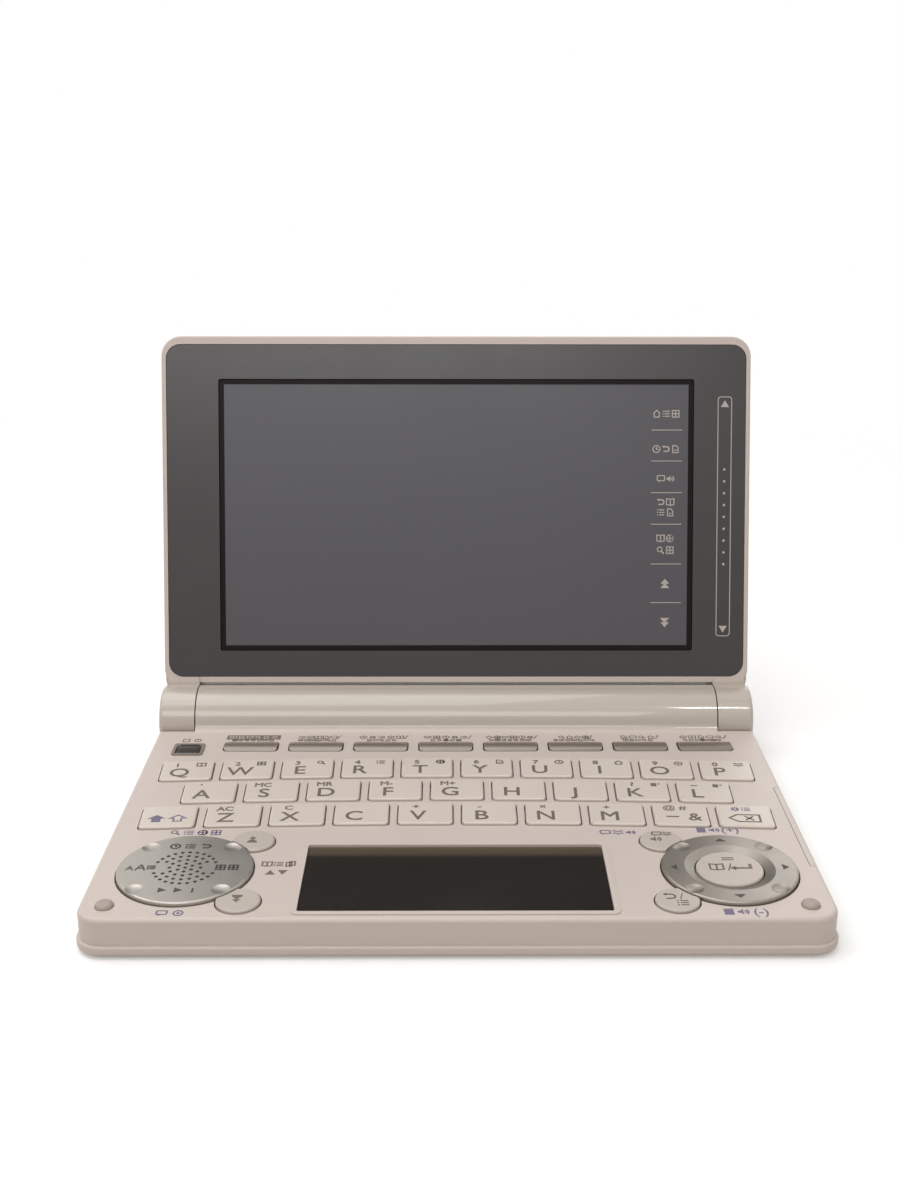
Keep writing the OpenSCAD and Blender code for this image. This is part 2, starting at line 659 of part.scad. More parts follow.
module main_board() from_front() {
    board_r = 1.5;
    chip_t = 0.9;
    y0 = wall + 0.6;
    y1 = hinge_y - barrel_r - 2.3;
    // chips under the letter rows: place across, row, width
    chips = [[-1.5, 1, 14], [0.5, 1, 12], [2.5, 0, 8], [-3.5, 0, 9]];
    color("#2F6B45") difference() {
        union() {
            translate([0, (y0 + y1) / 2, 0])
                plate(2 * (pocket_x - liner_t - 0.4), y1 - y0, board_r, board_z, board_top);
            for (c = chips) translate([c[0] * key_pitch, letter_y(c[1]), board_z - chip_t])
                plate(c[2], c[2], 0.5, 0, chip_t + cut);
        }
        for (s = screw_spots) translate([s[0], s[1], 0]) cylinder(r = screw_r + 3 * slip, h = deck_z);
        translate([-disc_x, disc_y, 0]) cylinder(r = speaker_r + 0.3, h = deck_z);
        translate([-deck_w / 2, socket_y, board_z]) plate(socket_room, socket_w + 0.6, 0.5, -1, deck_z);
    }
    // earphone socket, loudspeaker and the cells' contacts
    color("#2B2826") translate([-deck_w / 2 + wall + slip, socket_y, socket_z]) rotate([0, 90, 0])
        difference() {
            translate([0, 0, socket_l / 2]) cube([2 * socket_r + 0.5, socket_w, socket_l], center = true);
            translate([0, 0, -cut]) cylinder(r = socket_r, h = socket_l - 1);
        }
    color(dark_colour) translate([-disc_x, disc_y, floor_z + slip]) {
        cylinder(r = speaker_r - 2, h = mat_top - floor_z - 0.5);
        translate([0, 0, 1]) cylinder(r = speaker_r, h = mat_top - floor_z - 1);
    }
    color(metal_colour) for (x = [-1, 1])
        translate([x * (bay_w / 2 - slip), hinge_y, hinge_z]) rotate([0, -x * 90, 0]) {
            cylinder(r = 5, h = 0.5);
            cylinder(r1 = 4, r2 = 2.2, h = contact_l - 0.3 - 2 * slip);
        }
}

module key_mat() color("#8C8F92") from_front() difference() {
    union() {
        y0 = wall + 1.2;
        y1 = shortcut_y + shortcut_d / 2 + 0.8;
        y_pad = pad_front + pad_d + pad_lip + 1.5;
        half = pocket_x - liner_t - 0.6;
        x_pad = pad_w / 2 + pad_edge + abs(pad_x) + 0.7;
        translate([0, (y1 + y_pad) / 2, 0]) plate(2 * half, y1 - y_pad, 1, mat_z, mat_top);
        for (x = [-1, 1]) translate([x * (half + x_pad) / 2, (y0 + y_pad + 3) / 2, 0])
            plate(half - x_pad, y_pad + 3 - y0, 1, mat_z, mat_top);
        for (r = [0 : 2]) for (i = [0 : len(letter_rows[r]) - 1]) at_letter(r, i) dome(0, 0);
        for (i = [1 : shortcuts]) dome(shortcut_at(i), shortcut_y);
        dome(power_x, power_y);
        for (k = round_keys) dome(k[1] * (disc_x - button_in - 1), disc_y + k[2] * (button_up + 1));
        for (x = [-1, 1], a = [0 : 90 : 270])
            dome(x * disc_x + (disc_r - dome_r) * cos(a), disc_y + (disc_r - dome_r) * sin(a));
        dome(disc_x, disc_y);
    }
    translate([-disc_x, disc_y, mat_z - cut]) cylinder(r = speaker_r + 0.5, h = mat_t + 2 * cut);
    for (s = screw_spots) translate([s[0], s[1], mat_z - cut]) cylinder(r = boss_r + 0.3, h = 3);
    translate([-deck_w / 2, socket_y, mat_z]) plate(socket_room, socket_w + 0.6, 0.5, -1, deck_z);
}

module dome(x, y) translate([x, y, mat_z + cut]) cylinder(r = dome_r, h = dome_top - mat_z - cut);

module sub_display() color("#2A2622") from_front() translate([pad_x, pad_y, 0]) {
    plate(pad_w + 2 * pad_edge, pad_d + 2 * pad_lip, 1, board_top + slip, plate_z - slip);
    plate(pad_w - 2 * slip, pad_d - 2 * slip, 0.5, board_top + 1, deck_z - pad_deep);
}

module case_screws() color(metal_colour) from_front() for (s = screw_spots)
    translate([s[0], s[1], foot_h + 0.2]) difference() {
        union() {
            cylinder(r = screw_head_r, h = 1.1);
            cylinder(r = screw_r, h = plate_z - foot_h - 0.6);
        }
        // cross slot
        for (a = [0, 90]) rotate(a) translate([-slot_l / 2, -0.25, -cut]) cube([slot_l, 0.5, 0.6]);
    }

module rubber_feet() color("#8E8780") from_front() {
    for (x = [-1, 1]) {
        translate([x * foot_x, foot_front, 0]) cylinder(r = foot_r, h = foot_h + foot_sink);
        translate([x * rear_pad_x, hinge_y, 0])
            plate(rear_pad_w - 2 * slip, rear_pad_d - 2 * slip, 1 - slip, 0, rear_pad_h);
        // domed bumper that the closed lid lies on
        translate([x * bumper_x, bumper_y, 0]) rotate_extrude() intersection() {
            edge_section(2 * bumper_r, deck_z - bumper_sink, deck_z + bumper_h, 0.8, 0);
            translate([0, deck_z - bumper_sink]) square([bumper_r, bumper_h + bumper_sink]);
        }
    }
}

module hinge_pins() color(metal_colour) from_front() for (x = [-1, 1])
    translate([x * (barrel_w + pin_out - pin_in) / 2, hinge_y, hinge_z]) rotate([0, 90, 0])
        cylinder(r = pin_r, h = pin_in + pin_out, center = true);

module stylus() color("#B9B1A9") from_front() intersection() {
    stylus_form(0);
    case_form(0, stylus_z, deck_z, edge_r, 0);
}

// ---- Lid ----

// A slab of the lid: drawn flat, with its outer face up, and turned upright
module lid_slab(w, z0, z1, r, y0, y1, back_r, front_r) translate([0, 0, (z0 + z1) / 2])
    rotate([-90, 0, 0]) slab(w, z1 - z0, r, y0, y1, back_r, front_r);

module lid_plate(w, z0, z1, r, y0, y1) translate([0, 0, (z0 + z1) / 2])
    rotate([-90, 0, 0]) plate(w, z1 - z0, r, y0, y1);

seam_y = face_back + bezel_t + 0.4;
ledge_y = seam_y + 0.8;
window_w = screen_w + 2 * screen_margin;
window_h = screen_h + 2 * screen_margin;
module_w = window_w + 4;
module_h = window_h + 5;
screen_mid = screen_z + screen_h / 2;

// Sides of the lid below the slab, beside the barrel
module knuckles_x() for (x = [-1, 1])
    translate([x * (lid_w + barrel_w + 2 * knuckle_gap) / 4, 0, 0])
        along_x(-knuckle_l / 2, knuckle_l / 2) children();

// Round form of both knuckles, with rounded outer ends
module knuckle_form() intersection() {
    rotate([0, 90, 0]) rotate_extrude() intersection() {
        edge_section(2 * barrel_r, -lid_w / 2, lid_w / 2, knuckle_edge_r, knuckle_edge_r);
        translate([0, -lid_w / 2]) square([barrel_r, lid_w]);
    }
    knuckles_x() children();
}

// Front part of a knuckle, in Y and Z from the axis, grown by g: the wrap and its root
module knuckle_wrap(g) sector(barrel_r - wrap_t - g, barrel_r + g, 90, 90 + knuckle_wrap + g * 4);
module wrap_root(g) translate([0, barrel_r - wrap_t - g]) square([seam_y, wrap_t + bezel_z - barrel_r]);

module barrel_room() along_x(-barrel_w / 2 - knuckle_gap, barrel_w / 2 + knuckle_gap)
    circle(barrel_r + lid_gap);

module lid_rear_cover() color(shell_colour) on_lid() difference() {
    union() {
        lid_slab(lid_w, barrel_r - 3.4, lid_top, corner_r, seam_y, lid_back, lid_edge_r, 0);
        knuckle_form() circle(barrel_r);
        intersection() {
            knuckles_x() knuckle_blend();
            along_x(-lid_w / 2 + lid_edge_r, lid_w / 2 - lid_edge_r) circle(3 * barrel_r);
        }
    }
    lid_plate(lid_w - 2 * lid_wall - 1, bezel_z + 0.5, lid_top - lid_wall - 0.8, corner_r - lid_wall,
        seam_y - 1, lid_back - lid_wall);
    knuckles_x() {
        knuckle_wrap(slip / 2);
        wrap_root(slip / 2);
    }
    barrel_room();
    for (x = [-1, 1]) translate([x * barrel_w / 2, 0, 0])
        along_x(-pin_out - slip, pin_out + slip) circle(pin_r + pin_clearance);
}

// The back of a knuckle runs tangent into the outer face of the lid
module knuckle_blend() {
    blend_z = 14;
    far = sqrt(lid_back * lid_back + blend_z * blend_z);
    a = atan2(blend_z, lid_back) - acos(barrel_r / far);
    polygon([
        [0, 0], barrel_r * [cos(a), sin(a)], [lid_back, blend_z], [seam_y, blend_z], [seam_y, barrel_r]
    ]);
}

module lid_front_frame() color(shell_colour) on_lid() difference() {
    union() {
        lid_slab(lid_w, barrel_r - 1, lid_top, corner_r, face_back - rim_proud, seam_y, 0, rim_edge_r);
        lid_plate(lid_w - 2 * lid_wall - 1.4, bezel_z + 0.8, lid_top - lid_wall - 1.1, corner_r - lid_wall,
            seam_y - cut, ledge_y);
        knuckle_form() knuckle_wrap(0);
        intersection() {
            knuckles_x() wrap_root(0);
            along_x(-lid_w / 2 + knuckle_edge_r, lid_w / 2 - knuckle_edge_r) circle(3 * barrel_r);
        }
    }
    lid_plate(bezel_w + 2 * slip, bezel_z - slip, bezel_z + bezel_h + slip, bezel_r + slip,
        face_back - 2, face_back + bezel_t);
    lid_plate(module_w + 2 * slip, screen_mid - module_h / 2 - slip, screen_mid + module_h / 2 + slip, 0.5,
        face_back, ledge_y + 1);
    barrel_room();
}

module screen_bezel() color(dark_colour) on_lid() difference() {
    lid_plate(bezel_w, bezel_z, bezel_z + bezel_h, bezel_r, face_back, face_back + bezel_t);
    lid_plate(window_w, screen_mid - window_h / 2, screen_mid + window_h / 2, 0.6,
        face_back - 1, face_back + bezel_t + 1);
}

module main_display() color("#5E5E60") on_lid() {
    lid_plate(module_w, screen_mid - module_h / 2, screen_mid + module_h / 2, 0.5,
        face_back + bezel_t + slip / 2, face_back + bezel_t + display_t);
    lid_plate(window_w - 2 * slip, screen_mid - window_h / 2 + slip, screen_mid + window_h / 2 - slip, 0.5,
        face_back + screen_deep, face_back + bezel_t + slip);
}

lower_case();
upper_case();
battery_cover();
battery_cells();
main_board();
key_mat();
sub_display();
case_screws();
rubber_feet();
hinge_pins();
stylus();
lid_rear_cover();
lid_front_frame();
screen_bezel();
main_display();
for (r = [0 : 2]) for (i = [0 : len(letter_rows[r]) - 1])
    letter_key(r, i);
for (i = [1 : shortcuts])
    shortcut_key(i);
power_key();
speaker_disc();
cursor_ring();
enter_key();
for (k = round_keys)
    round_key(k);
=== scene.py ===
"""Looks of a clamshell electronic dictionary: its finishes, its prints and a plain studio."""

import json
import math

import bmesh
import bpy
from mathutils import Matrix, Vector


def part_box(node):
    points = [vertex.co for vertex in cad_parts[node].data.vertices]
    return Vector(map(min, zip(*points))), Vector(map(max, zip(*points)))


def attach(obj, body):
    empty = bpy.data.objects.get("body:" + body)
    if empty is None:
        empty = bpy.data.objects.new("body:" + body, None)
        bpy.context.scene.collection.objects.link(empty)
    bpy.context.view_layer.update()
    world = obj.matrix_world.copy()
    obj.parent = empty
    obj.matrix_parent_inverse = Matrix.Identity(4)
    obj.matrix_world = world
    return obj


bl_info = {
    "name": "Electronic Dictionary Looks",
    "version": (1, 0, 0),
    "blender": (4, 5, 0),
    "location": "3D View > Sidebar > Dictionary",
    "description": "Finishes, prints and light for a clamshell electronic dictionary",
    "category": "Object",
}

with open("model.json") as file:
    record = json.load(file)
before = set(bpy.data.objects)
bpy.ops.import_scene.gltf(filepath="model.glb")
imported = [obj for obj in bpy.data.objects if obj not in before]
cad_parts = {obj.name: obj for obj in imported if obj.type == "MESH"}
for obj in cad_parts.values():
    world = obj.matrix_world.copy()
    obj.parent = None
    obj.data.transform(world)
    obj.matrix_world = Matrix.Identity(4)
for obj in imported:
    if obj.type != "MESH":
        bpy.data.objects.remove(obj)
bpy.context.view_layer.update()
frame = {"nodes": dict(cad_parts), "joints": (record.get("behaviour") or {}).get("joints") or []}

# ---- Places, from the frame ----

MM = 0.001             # prints are drawn in millimetres, and all else is in metres
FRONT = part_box("upper_case")[0].y
HINGE_JOINT = next(j for j in frame["joints"] if j["name"] == "lid_hinge")
HINGE = Vector(HINGE_JOINT["pos_m"])
LEAN = math.radians(-HINGE_JOINT["range_deg"][0] - 90)  # of the open lid, back from upright
DECK_Z = 0.0086        # top of the keyboard deck
BARREL_R = 0.0082
ROW_ARC_R = 1.17       # radius of the arcs that the letter rows follow
BEZEL_FACE = 0.85      # bezel's face behind the hinge axis, mm
GLASS_FACE = 1.35      # display's glass behind the hinge axis, mm
SCREEN_W = 117.3       # lit area of the display, mm
SCREEN_LOW = 18.2      # its edges above the hinge axis, mm
SCREEN_HIGH = 84.2
ROUND_IN = 12.4        # small round keys, from the disc's centre, mm
ROUND_UP = 12.1


def linear(code):
    """An sRGB hex code as linear red, green, blue and alpha."""
    parts = [int(code[i:i + 2], 16) / 255 for i in (1, 3, 5)]
    return tuple(c / 12.92 if c <= 0.04045 else ((c + 0.055) / 1.055) ** 2.4 for c in parts) + (1.0,)


def colour(name, code, text):
    """A colour that the user can change, given as an sRGB hex code."""
    return bpy.props.FloatVectorProperty(
        name=name, description=text, subtype="COLOR", size=4, min=0, max=1, default=linear(code))


def length(name, default, low, high, text):
    """A length that the user can change, in metres."""
    return bpy.props.FloatProperty(
        name=name, description=text, subtype="DISTANCE", unit="LENGTH",
        default=default, min=low, max=high)


def power(name, default, text):
    """A lamp's power that the user can change, in watts."""
    return bpy.props.FloatProperty(name=name, description=text, subtype="POWER", default=default, min=0)


class DictionaryCase(bpy.types.PropertyGroup):
    """Colours of the mouldings."""
    shell: colour("Shell", "#CDBFB6", "Textured plastic of the case and the lid")
    barrel: colour("Barrel", "#BDB1A4", "Polished plastic of the battery barrel")
    key: colour("Keys", "#D6C9BE", "Satin plastic of the letter keys")
    round_key: colour("Round keys", "#C0B4AA", "Satin plastic of the round keys")
    disc: colour("Disc paint", "#ABA59D", "Silver paint on the speaker disc")
    ring: colour("Ring paint", "#989188", "Darker silver paint on the cursor ring")
    shortcut: colour("Shortcut paint", "#7E7268", "Darker metallic paint on the shortcut keys")
    bezel: colour("Bezel", "#1B1411", "Printed acrylic around the display")
    rubber: colour("Bumpers", "#A6988F", "Soft bumpers on the deck")
    grain: length("Grain", 0.00035, 0.0001, 0.002, "Width of one grain of the moulded texture")


class DictionaryPrints(bpy.types.PropertyGroup):
    """Inks and sizes of the prints."""
    brown: colour("Brown ink", "#6E6157", "Main legends")
    violet: colour("Violet ink", "#71687F", "Second legends, reached with the shift key")
    pale: colour("Pale ink", "#B9B0A8", "Marks on the bezel")
    dark: colour("Dark ink", "#453D38", "Marks on the silver paint")
    letter_height: length("Letter height", 0.004, 0.002, 0.006, "Height of a capital letter on a key")
    small_height: length("Digit height", 0.0018, 0.001, 0.003, "Height of a digit on a key")
    stroke: length("Stroke", 0.00036, 0.0001, 0.001, "Width of a pictogram's line")


class DictionaryDisplays(bpy.types.PropertyGroup):
    """Colours of the two displays."""
    lit: colour("Display", "#464448", "The unlit panel behind anti-glare glass")
    # painted shade: the dark band around the display's lit area stands in for the shadow of the bezel's
    # recess wall
    recess_shade: colour("Border", "#171412", "Dark border around the lit area")
    pad: colour("Writing panel", "#1F1A15", "Touch film of the writing panel")
    # painted highlight: a paler band along the back of the writing panel stands in for light on the lit
    # wall of its recess
    margin: colour("Panel margin", "#544739", "Paler margin at the back of the writing panel")


class DictionaryStage(bpy.types.PropertyGroup):
    """Camera and light."""
    lens: bpy.props.FloatProperty(
        name="Lens", description="Focal length of the camera, in millimetres", subtype="DISTANCE_CAMERA",
        default=43.343, min=10, max=200)
    overhead: power("Overhead", 4.0, "Power of the soft light above")
    front_light: power("Front light", 1.5, "Power of the window in front, above the camera")
    side_light: power("Side light", 0.26, "Power of the small lamp that draws the highlights")
    back_light: power("Back light", 1.3, "Power of the soft light behind the lid")
    floor: colour("Floor", "#F2F1EF", "Pale table top")
    bounce: colour("Bounce", "#D3CBC4", "Tone of the light that the table sends back to the object")


# ---- Placing ----

def middle(node):
    """The middle of a node's box."""
    low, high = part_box(node)
    return (low + high) / 2


def level(x, y, z, turn=0.0):
    """Print coordinates on a level face, around a point."""
    return Matrix.Translation((x, y, z)) @ Matrix.Rotation(turn, 4, "Z") @ Matrix.Scale(MM, 4)


ON_DECK = level(0, FRONT, DECK_Z)


def on_top(node):
    """Print coordinates in the middle of a node's top. A letter key is turned along its row's arc."""
    centre = middle(node)
    turn = -math.atan(centre.x / ROW_ARC_R) if node.startswith("key_") else 0.0
    return level(centre.x, centre.y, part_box(node)[1].z, turn)


def on_round_key(disc, side, end):
    """Print coordinates on a small round key beside a disc: side and end are -1 or 1."""
    centre = middle(disc)
    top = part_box("enter_key")[1].z
    return level(centre.x + side * ROUND_IN * MM, centre.y + end * ROUND_UP * MM, top)


def on_lid(depth):
    """Print coordinates on a face of the lid: across and up from the hinge axis, out to the user."""
    upright = Matrix(((1, 0, 0, 0), (0, 0, -1, depth), (0, 1, 0, 0), (0, 0, 0, 1)))
    return Matrix.Translation(HINGE) @ Matrix.Rotation(-LEAN, 4, "X") @ Matrix.Scale(MM, 4) @ upright


# ---- Objects and meshes ----

def linked(name, data):
    """A new object in the scene."""
    made = bpy.data.objects.new(name, data)
    bpy.context.scene.collection.objects.link(made)
    return made


def piece(name, mesh, materials, body):
    """A finished mesh as an object at the origin that rides on a body."""
    made = linked(name, mesh)
    for material in materials:
        made.data.materials.append(material)
    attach(made, body)
    return made


def evaluated_mesh(holder):
    """The mesh that an object comes to, as plain data. The object is removed."""
    bpy.context.view_layer.update()
    depsgraph = bpy.context.evaluated_depsgraph_get()
    mesh = bpy.data.meshes.new_from_object(holder.evaluated_get(depsgraph))
    holder.modifiers.clear()
    bpy.data.objects.remove(holder)
    return mesh


def curve_mesh(curve):
    """The mesh of a curve or a text, which is used up."""
    mesh = evaluated_mesh(linked("words", curve))
    bpy.data.curves.remove(curve)
    return mesh


# ---- Outlines ----

def twice_area(points):
    """Twice the signed area of an outline."""
    return sum(a[0] * b[1] - b[0] * a[1] for a, b in zip(points, points[1:] + points[:1]))


def arc(x, y, r, start, end, steps=8):
    """Points along an arc, in degrees."""
    angles = [math.radians(start + (end - start) * i / steps) for i in range(steps + 1)]
    return [(x + r * math.cos(a), y + r * math.sin(a)) for a in angles]


def rounded(x, y, w, h, r):
    """Corners of a box around x and y, rounded by r."""
    if r == 0:
        return [(x + a * w / 2, y + b * h / 2) for a, b in ((-1, -1), (1, -1), (1, 1), (-1, 1))]
    points = []
    for a, b, start in ((1, 1, 0), (-1, 1, 90), (-1, -1, 180), (1, -1, 270)):
        points += arc(x + a * (w / 2 - r), y + b * (h / 2 - r), r, start, start + 90, 5)
    return points


GLYPH_GAP = 0.004      # points of a letter's outline that are closer than this count as one


def glyphs(words):
    """Closed outlines of a line of text in the built-in font, outer ones counter-clockwise."""
    curve = bpy.data.curves.new("words", "FONT")
    curve.body = words
    curve.fill_mode = "NONE"
    curve.resolution_u = 4
    mesh = curve_mesh(curve)
    joined = {tuple(sorted(edge.vertices)) for edge in mesh.edges}
    loops = [[]]
    for i, vertex in enumerate(mesh.vertices):
        if i > 0 and (i - 1, i) not in joined:
            loops.append([])
        if not loops[-1] or (vertex.co.xy - loops[-1][-1]).length > GLYPH_GAP:
            loops[-1].append(vertex.co.xy.copy())
    bpy.data.meshes.remove(mesh)
    if twice_area(max(loops, key=lambda loop: abs(twice_area(loop)))) < 0:
        loops = [loop[::-1] for loop in loops]
    return loops


def fattened(loop, by):
    """An outline moved to its right by a distance, which makes a stroke wider on both sides."""
    points = []
    for before, point, after in zip(loop[-1:] + loop[:-1], loop, loop[1:] + loop[:1]):
        back = (point - before).normalized()
        along = (back + (after - point).normalized()).normalized()
        points.append(point + Vector((along.y, -along.x)) * by / max(along.dot(back), 0.6))
    return points


# ---- Ink ----

INK_LOW, INK_HIGH = -0.02, 0.02  # mm from the face that is printed
MERGE = 0.0005                   # corners that are closer than this count as one, mm
BROWN, VIOLET = 0, 1             # shades of a legend


class Ink:
    """Marks in millimetres. Each is a thin closed solid that starts just inside the face under it."""

    def __init__(self, pen=None, shade=BROWN, low=INK_LOW, high=INK_HIGH):
        self.mesh = bmesh.new()
        self.pen = pen or bpy.context.scene.dictionary_prints.stroke / MM
        self.shade = shade
        self.low = low
        self.high = high
        # a pictogram is drawn around this point, in units of this size
        self.x, self.y, self.size = 0.0, 0.0, 1.0

    def face(self, corners):
        self.mesh.faces.new(corners).material_index = self.shade

    def ring_of(self, points, height):
        return [self.mesh.verts.new((self.x + x * self.size, self.y + y * self.size, height))
                for x, y in points]

    def area(self, points):
        """A filled outline."""
        points = points if twice_area(points) > 0 else points[::-1]
        lower = self.ring_of(points, self.low)
        upper = self.ring_of(points, self.high)
        self.face(upper)
        self.face(lower[::-1])
        for i in range(len(points)):
            self.face((lower[i - 1], lower[i], upper[i], upper[i - 1]))

    def band(self, outer, inner):
        """A closed band between two outlines with as many points."""
        rings = [self.ring_of(points, height) for points, height in
                 ((outer, self.low), (outer, self.high), (inner, self.high), (inner, self.low))]
        for i in range(len(outer)):
            for a, b in zip(rings, rings[1:] + rings[:1]):
                self.face((a[i - 1], a[i], b[i], b[i - 1]))

    def line(self, points, width=None, closed=False):
        """A line of constant width, in mm, with mitred corners."""
        half = (width or self.pen) / 2 / self.size
        left, right = [], []
        last = len(points) - 1
        for i, (x, y) in enumerate(points):
            back = points[i - 1] if i > 0 or closed else None
            ahead = points[(i + 1) % (last + 1)] if i < last or closed else None
            a = Vector((x - back[0], y - back[1])).normalized() if back else None
            b = Vector((ahead[0] - x, ahead[1] - y)).normalized() if ahead else None
            along = ((a or b) + (b or a)).normalized()
            reach = half / max(along.dot(a or b), 0.4)  # a sharp corner is cut short
            left.append((x - along.y * reach, y + along.x * reach))
            right.append((x + along.y * reach, y - along.x * reach))
        if closed:
            self.band(left, right)
        else:
            self.area(left + right[::-1])

    def box(self, x, y, w, h, width=None, r=0.0):
        self.line(rounded(x, y, w, h, r), width, closed=True)

    def block(self, x, y, w, h):
        self.area(rounded(x, y, w, h, 0.0))

    def circle(self, x, y, r, width=None):
        self.line(arc(x, y, r, 0, 360, 24)[:-1], width, closed=True)

    def dot(self, x, y, r):
        self.area(arc(x, y, r, 0, 360, 12)[:-1])

    def triangle(self, x, y, w, h, turn=0):
        c, s = math.cos(math.radians(turn)), math.sin(math.radians(turn))
        corners = ((-w / 2, -h / 2), (w / 2, -h / 2), (0, h / 2))
        self.area([(x + a * c - b * s, y + a * s + b * c) for a, b in corners])

    def text(self, words, x, y, height, bold=0.05):
        """Letters, digits and signs of the built-in font, centred on x and y and fattened by bold."""
        scale = height / max(point.y for point in glyphs("H")[0])
        loops = [fattened(loop, bold / scale) for loop in glyphs(words)]
        across = [point.x for loop in loops for point in loop]
        centre = (max(across) + min(across)) / 2
        curve = bpy.data.curves.new("words", "CURVE")
        curve.dimensions = "2D"
        curve.fill_mode = "BOTH"
        curve.extrude = (self.high - self.low) / 2
        for loop in loops:
            spline = curve.splines.new("POLY")
            spline.points.add(len(loop) - 1)
            spline.use_cyclic_u = True
            for point, (u, v) in zip(spline.points, loop):
                point.co = (x + (u - centre) * scale, y - height / 2 + v * scale, 0, 1)
        mesh = curve_mesh(curve)
        mesh.transform(Matrix.Translation((0, 0, (self.high + self.low) / 2)))
        for face in mesh.polygons:
            face.material_index = self.shade
        self.mesh.from_mesh(mesh)
        bpy.data.meshes.remove(mesh)

    def finish(self, name, place, body, materials=None):
        """The marks as one piece that rides on a body, in brown and violet ink if none is given."""
        bmesh.ops.remove_doubles(self.mesh, verts=self.mesh.verts, dist=MERGE)
        bmesh.ops.recalc_face_normals(self.mesh, faces=self.mesh.faces)
        self.mesh.transform(place)
        mesh = bpy.data.meshes.new(name)
        self.mesh.to_mesh(mesh)
        self.mesh.free()
        piece(name, mesh, materials or inks("brown", "violet"), body)

    def legend(self, name, key, place=None):
        """The marks as the legend of a key, which moves with it."""
        self.finish("legend_" + name, place or on_top(key), key + "_body")


# ---- Pictograms, each drawn in a square of side 1 around the origin ----

def pictogram(draw):
    """Turns a drawing in a unit square into one that is called with its centre and its size in mm."""
    def placed(ink, x, y, size):
        ink.x, ink.y, ink.size = x, y, size
        draw(ink)
        ink.x, ink.y, ink.size = 0.0, 0.0, 1.0
    return placed


@pictogram
def sign_book(ink):
    ink.line([(0, -0.35), (0, 0.35)])
    for side in (-1, 1):
        ink.line([(0, 0.35), (side * 0.45, 0.42), (side * 0.45, -0.3), (0, -0.4)])


@pictogram
def sign_globe(ink):
    ink.circle(0, 0, 0.42)
    ink.line(arc(0, 0, 0.42, -90, 90))
    ink.line([(-0.4, 0), (0.4, 0)])
    ink.line([(0, -0.4), (0, 0.4)])


@pictogram
def sign_lens(ink):
    ink.circle(-0.1, 0.1, 0.28)
    ink.line([(0.1, -0.12), (0.42, -0.42)], ink.pen * 1.4)


@pictogram
def sign_list(ink):
    for row in (-0.3, 0, 0.3):
        ink.dot(-0.38, row, ink.pen * 0.6 / ink.size)
        ink.line([(-0.2, row), (0.42, row)])


@pictogram
def sign_grid(ink):
    ink.box(0, 0, 0.8, 0.8)
    ink.line([(0, -0.4), (0, 0.4)])
    ink.line([(-0.4, 0), (0.4, 0)])


@pictogram
def sign_clock(ink):
    ink.circle(0, 0, 0.42)
    ink.line([(0, 0.28), (0, 0), (0.2, -0.1)])


@pictogram
def sign_note(ink):
    ink.line([(-0.32, -0.42), (0.32, -0.42), (0.32, 0.15), (0.08, 0.42), (-0.32, 0.42)], closed=True)
    ink.line([(-0.15, -0.12), (0.15, -0.12)])


@pictogram
def sign_speech(ink):
    ink.box(0, 0.08, 0.9, 0.6, r=0.12)
    ink.area([(-0.25, -0.22), (-0.02, -0.22), (-0.3, -0.48)])


@pictogram
def sign_sound(ink):
    ink.area([(-0.45, -0.14), (-0.25, -0.14), (0, -0.38), (0, 0.38), (-0.25, 0.14), (-0.45, 0.14)])
    for reach in (0.2, 0.4):
        ink.line(arc(0, 0, reach, -50, 50, 6))


@pictogram
def sign_return(ink):
    ink.line(arc(0.1, 0, 0.28, -90, 90) + [(-0.3, 0.28)], ink.pen * 1.3)
    ink.line([(0.1, -0.28), (-0.3, -0.28)], ink.pen * 1.3)
    ink.triangle(-0.35, 0.28, 0.36, 0.26, 90)


@pictogram
def sign_enter(ink):
    ink.line([(0.5, 0.3), (0.5, -0.1), (-0.3, -0.1)], ink.pen * 1.5)
    ink.triangle(-0.38, -0.1, 0.4, 0.3, 90)


@pictogram
def sign_page(ink):
    for step in (0, 0.3):
        ink.box(step - 0.15, step * 0.6 - 0.06, 0.5, 0.72)


@pictogram
def sign_gear(ink):
    ink.circle(0, 0, 0.22)
    for turn in range(0, 360, 45):
        ink.line([arc(0, 0, r, turn, turn)[0] for r in (0.26, 0.44)], ink.pen * 1.2)


@pictogram
def sign_cross(ink):
    for side in (-1, 1):
        ink.line([(-0.35, side * 0.35), (0.35, -side * 0.35)])


@pictogram
def sign_target(ink):
    ink.circle(0, 0, 0.4)
    ink.dot(0, 0, 0.16)


@pictogram
def sign_house(ink):
    ink.line([(-0.42, 0), (0, 0.42), (0.42, 0)])
    ink.line([(-0.3, 0), (-0.3, -0.4), (0.3, -0.4), (0.3, 0)])


@pictogram
def sign_wave(ink):
    for row in (-0.22, 0.22):
        ink.line([(i / 6 - 0.5, row + 0.13 * math.sin(i * 1.6)) for i in range(7)])


@pictogram
def sign_diamond(ink):
    ink.line([(-0.4, 0), (0, -0.4), (0.4, 0), (0, 0.4)], closed=True)


SIGNS = (sign_book, sign_grid, sign_lens, sign_list, sign_globe, sign_note, sign_clock, sign_house,
         sign_target, sign_wave, sign_speech, sign_gear, sign_diamond)
SIGN_PITCH = 1.12      # distance between the pictograms of a label, in widths of one


def side_by_side(ink, signs, x, y, step, size):
    """Pictograms in a row around x and y."""
    for i, sign in enumerate(signs):
        sign(ink, x + (i - (len(signs) - 1) / 2) * step, y, size)


def label(ink, x, y, width, size, first):
    """A label made of mixed pictograms side by side, as wide as asked."""
    count = max(2, round(width / (size * SIGN_PITCH)))
    signs = [SIGNS[(first + i * 5) % len(SIGNS)] for i in range(count)]
    side_by_side(ink, signs, x, y, width / count, size)


# ---- Materials ----

YELLOWING = (0.6, 0.8, 1.0)  # how far red, green and blue follow a change of tone in pale ABS


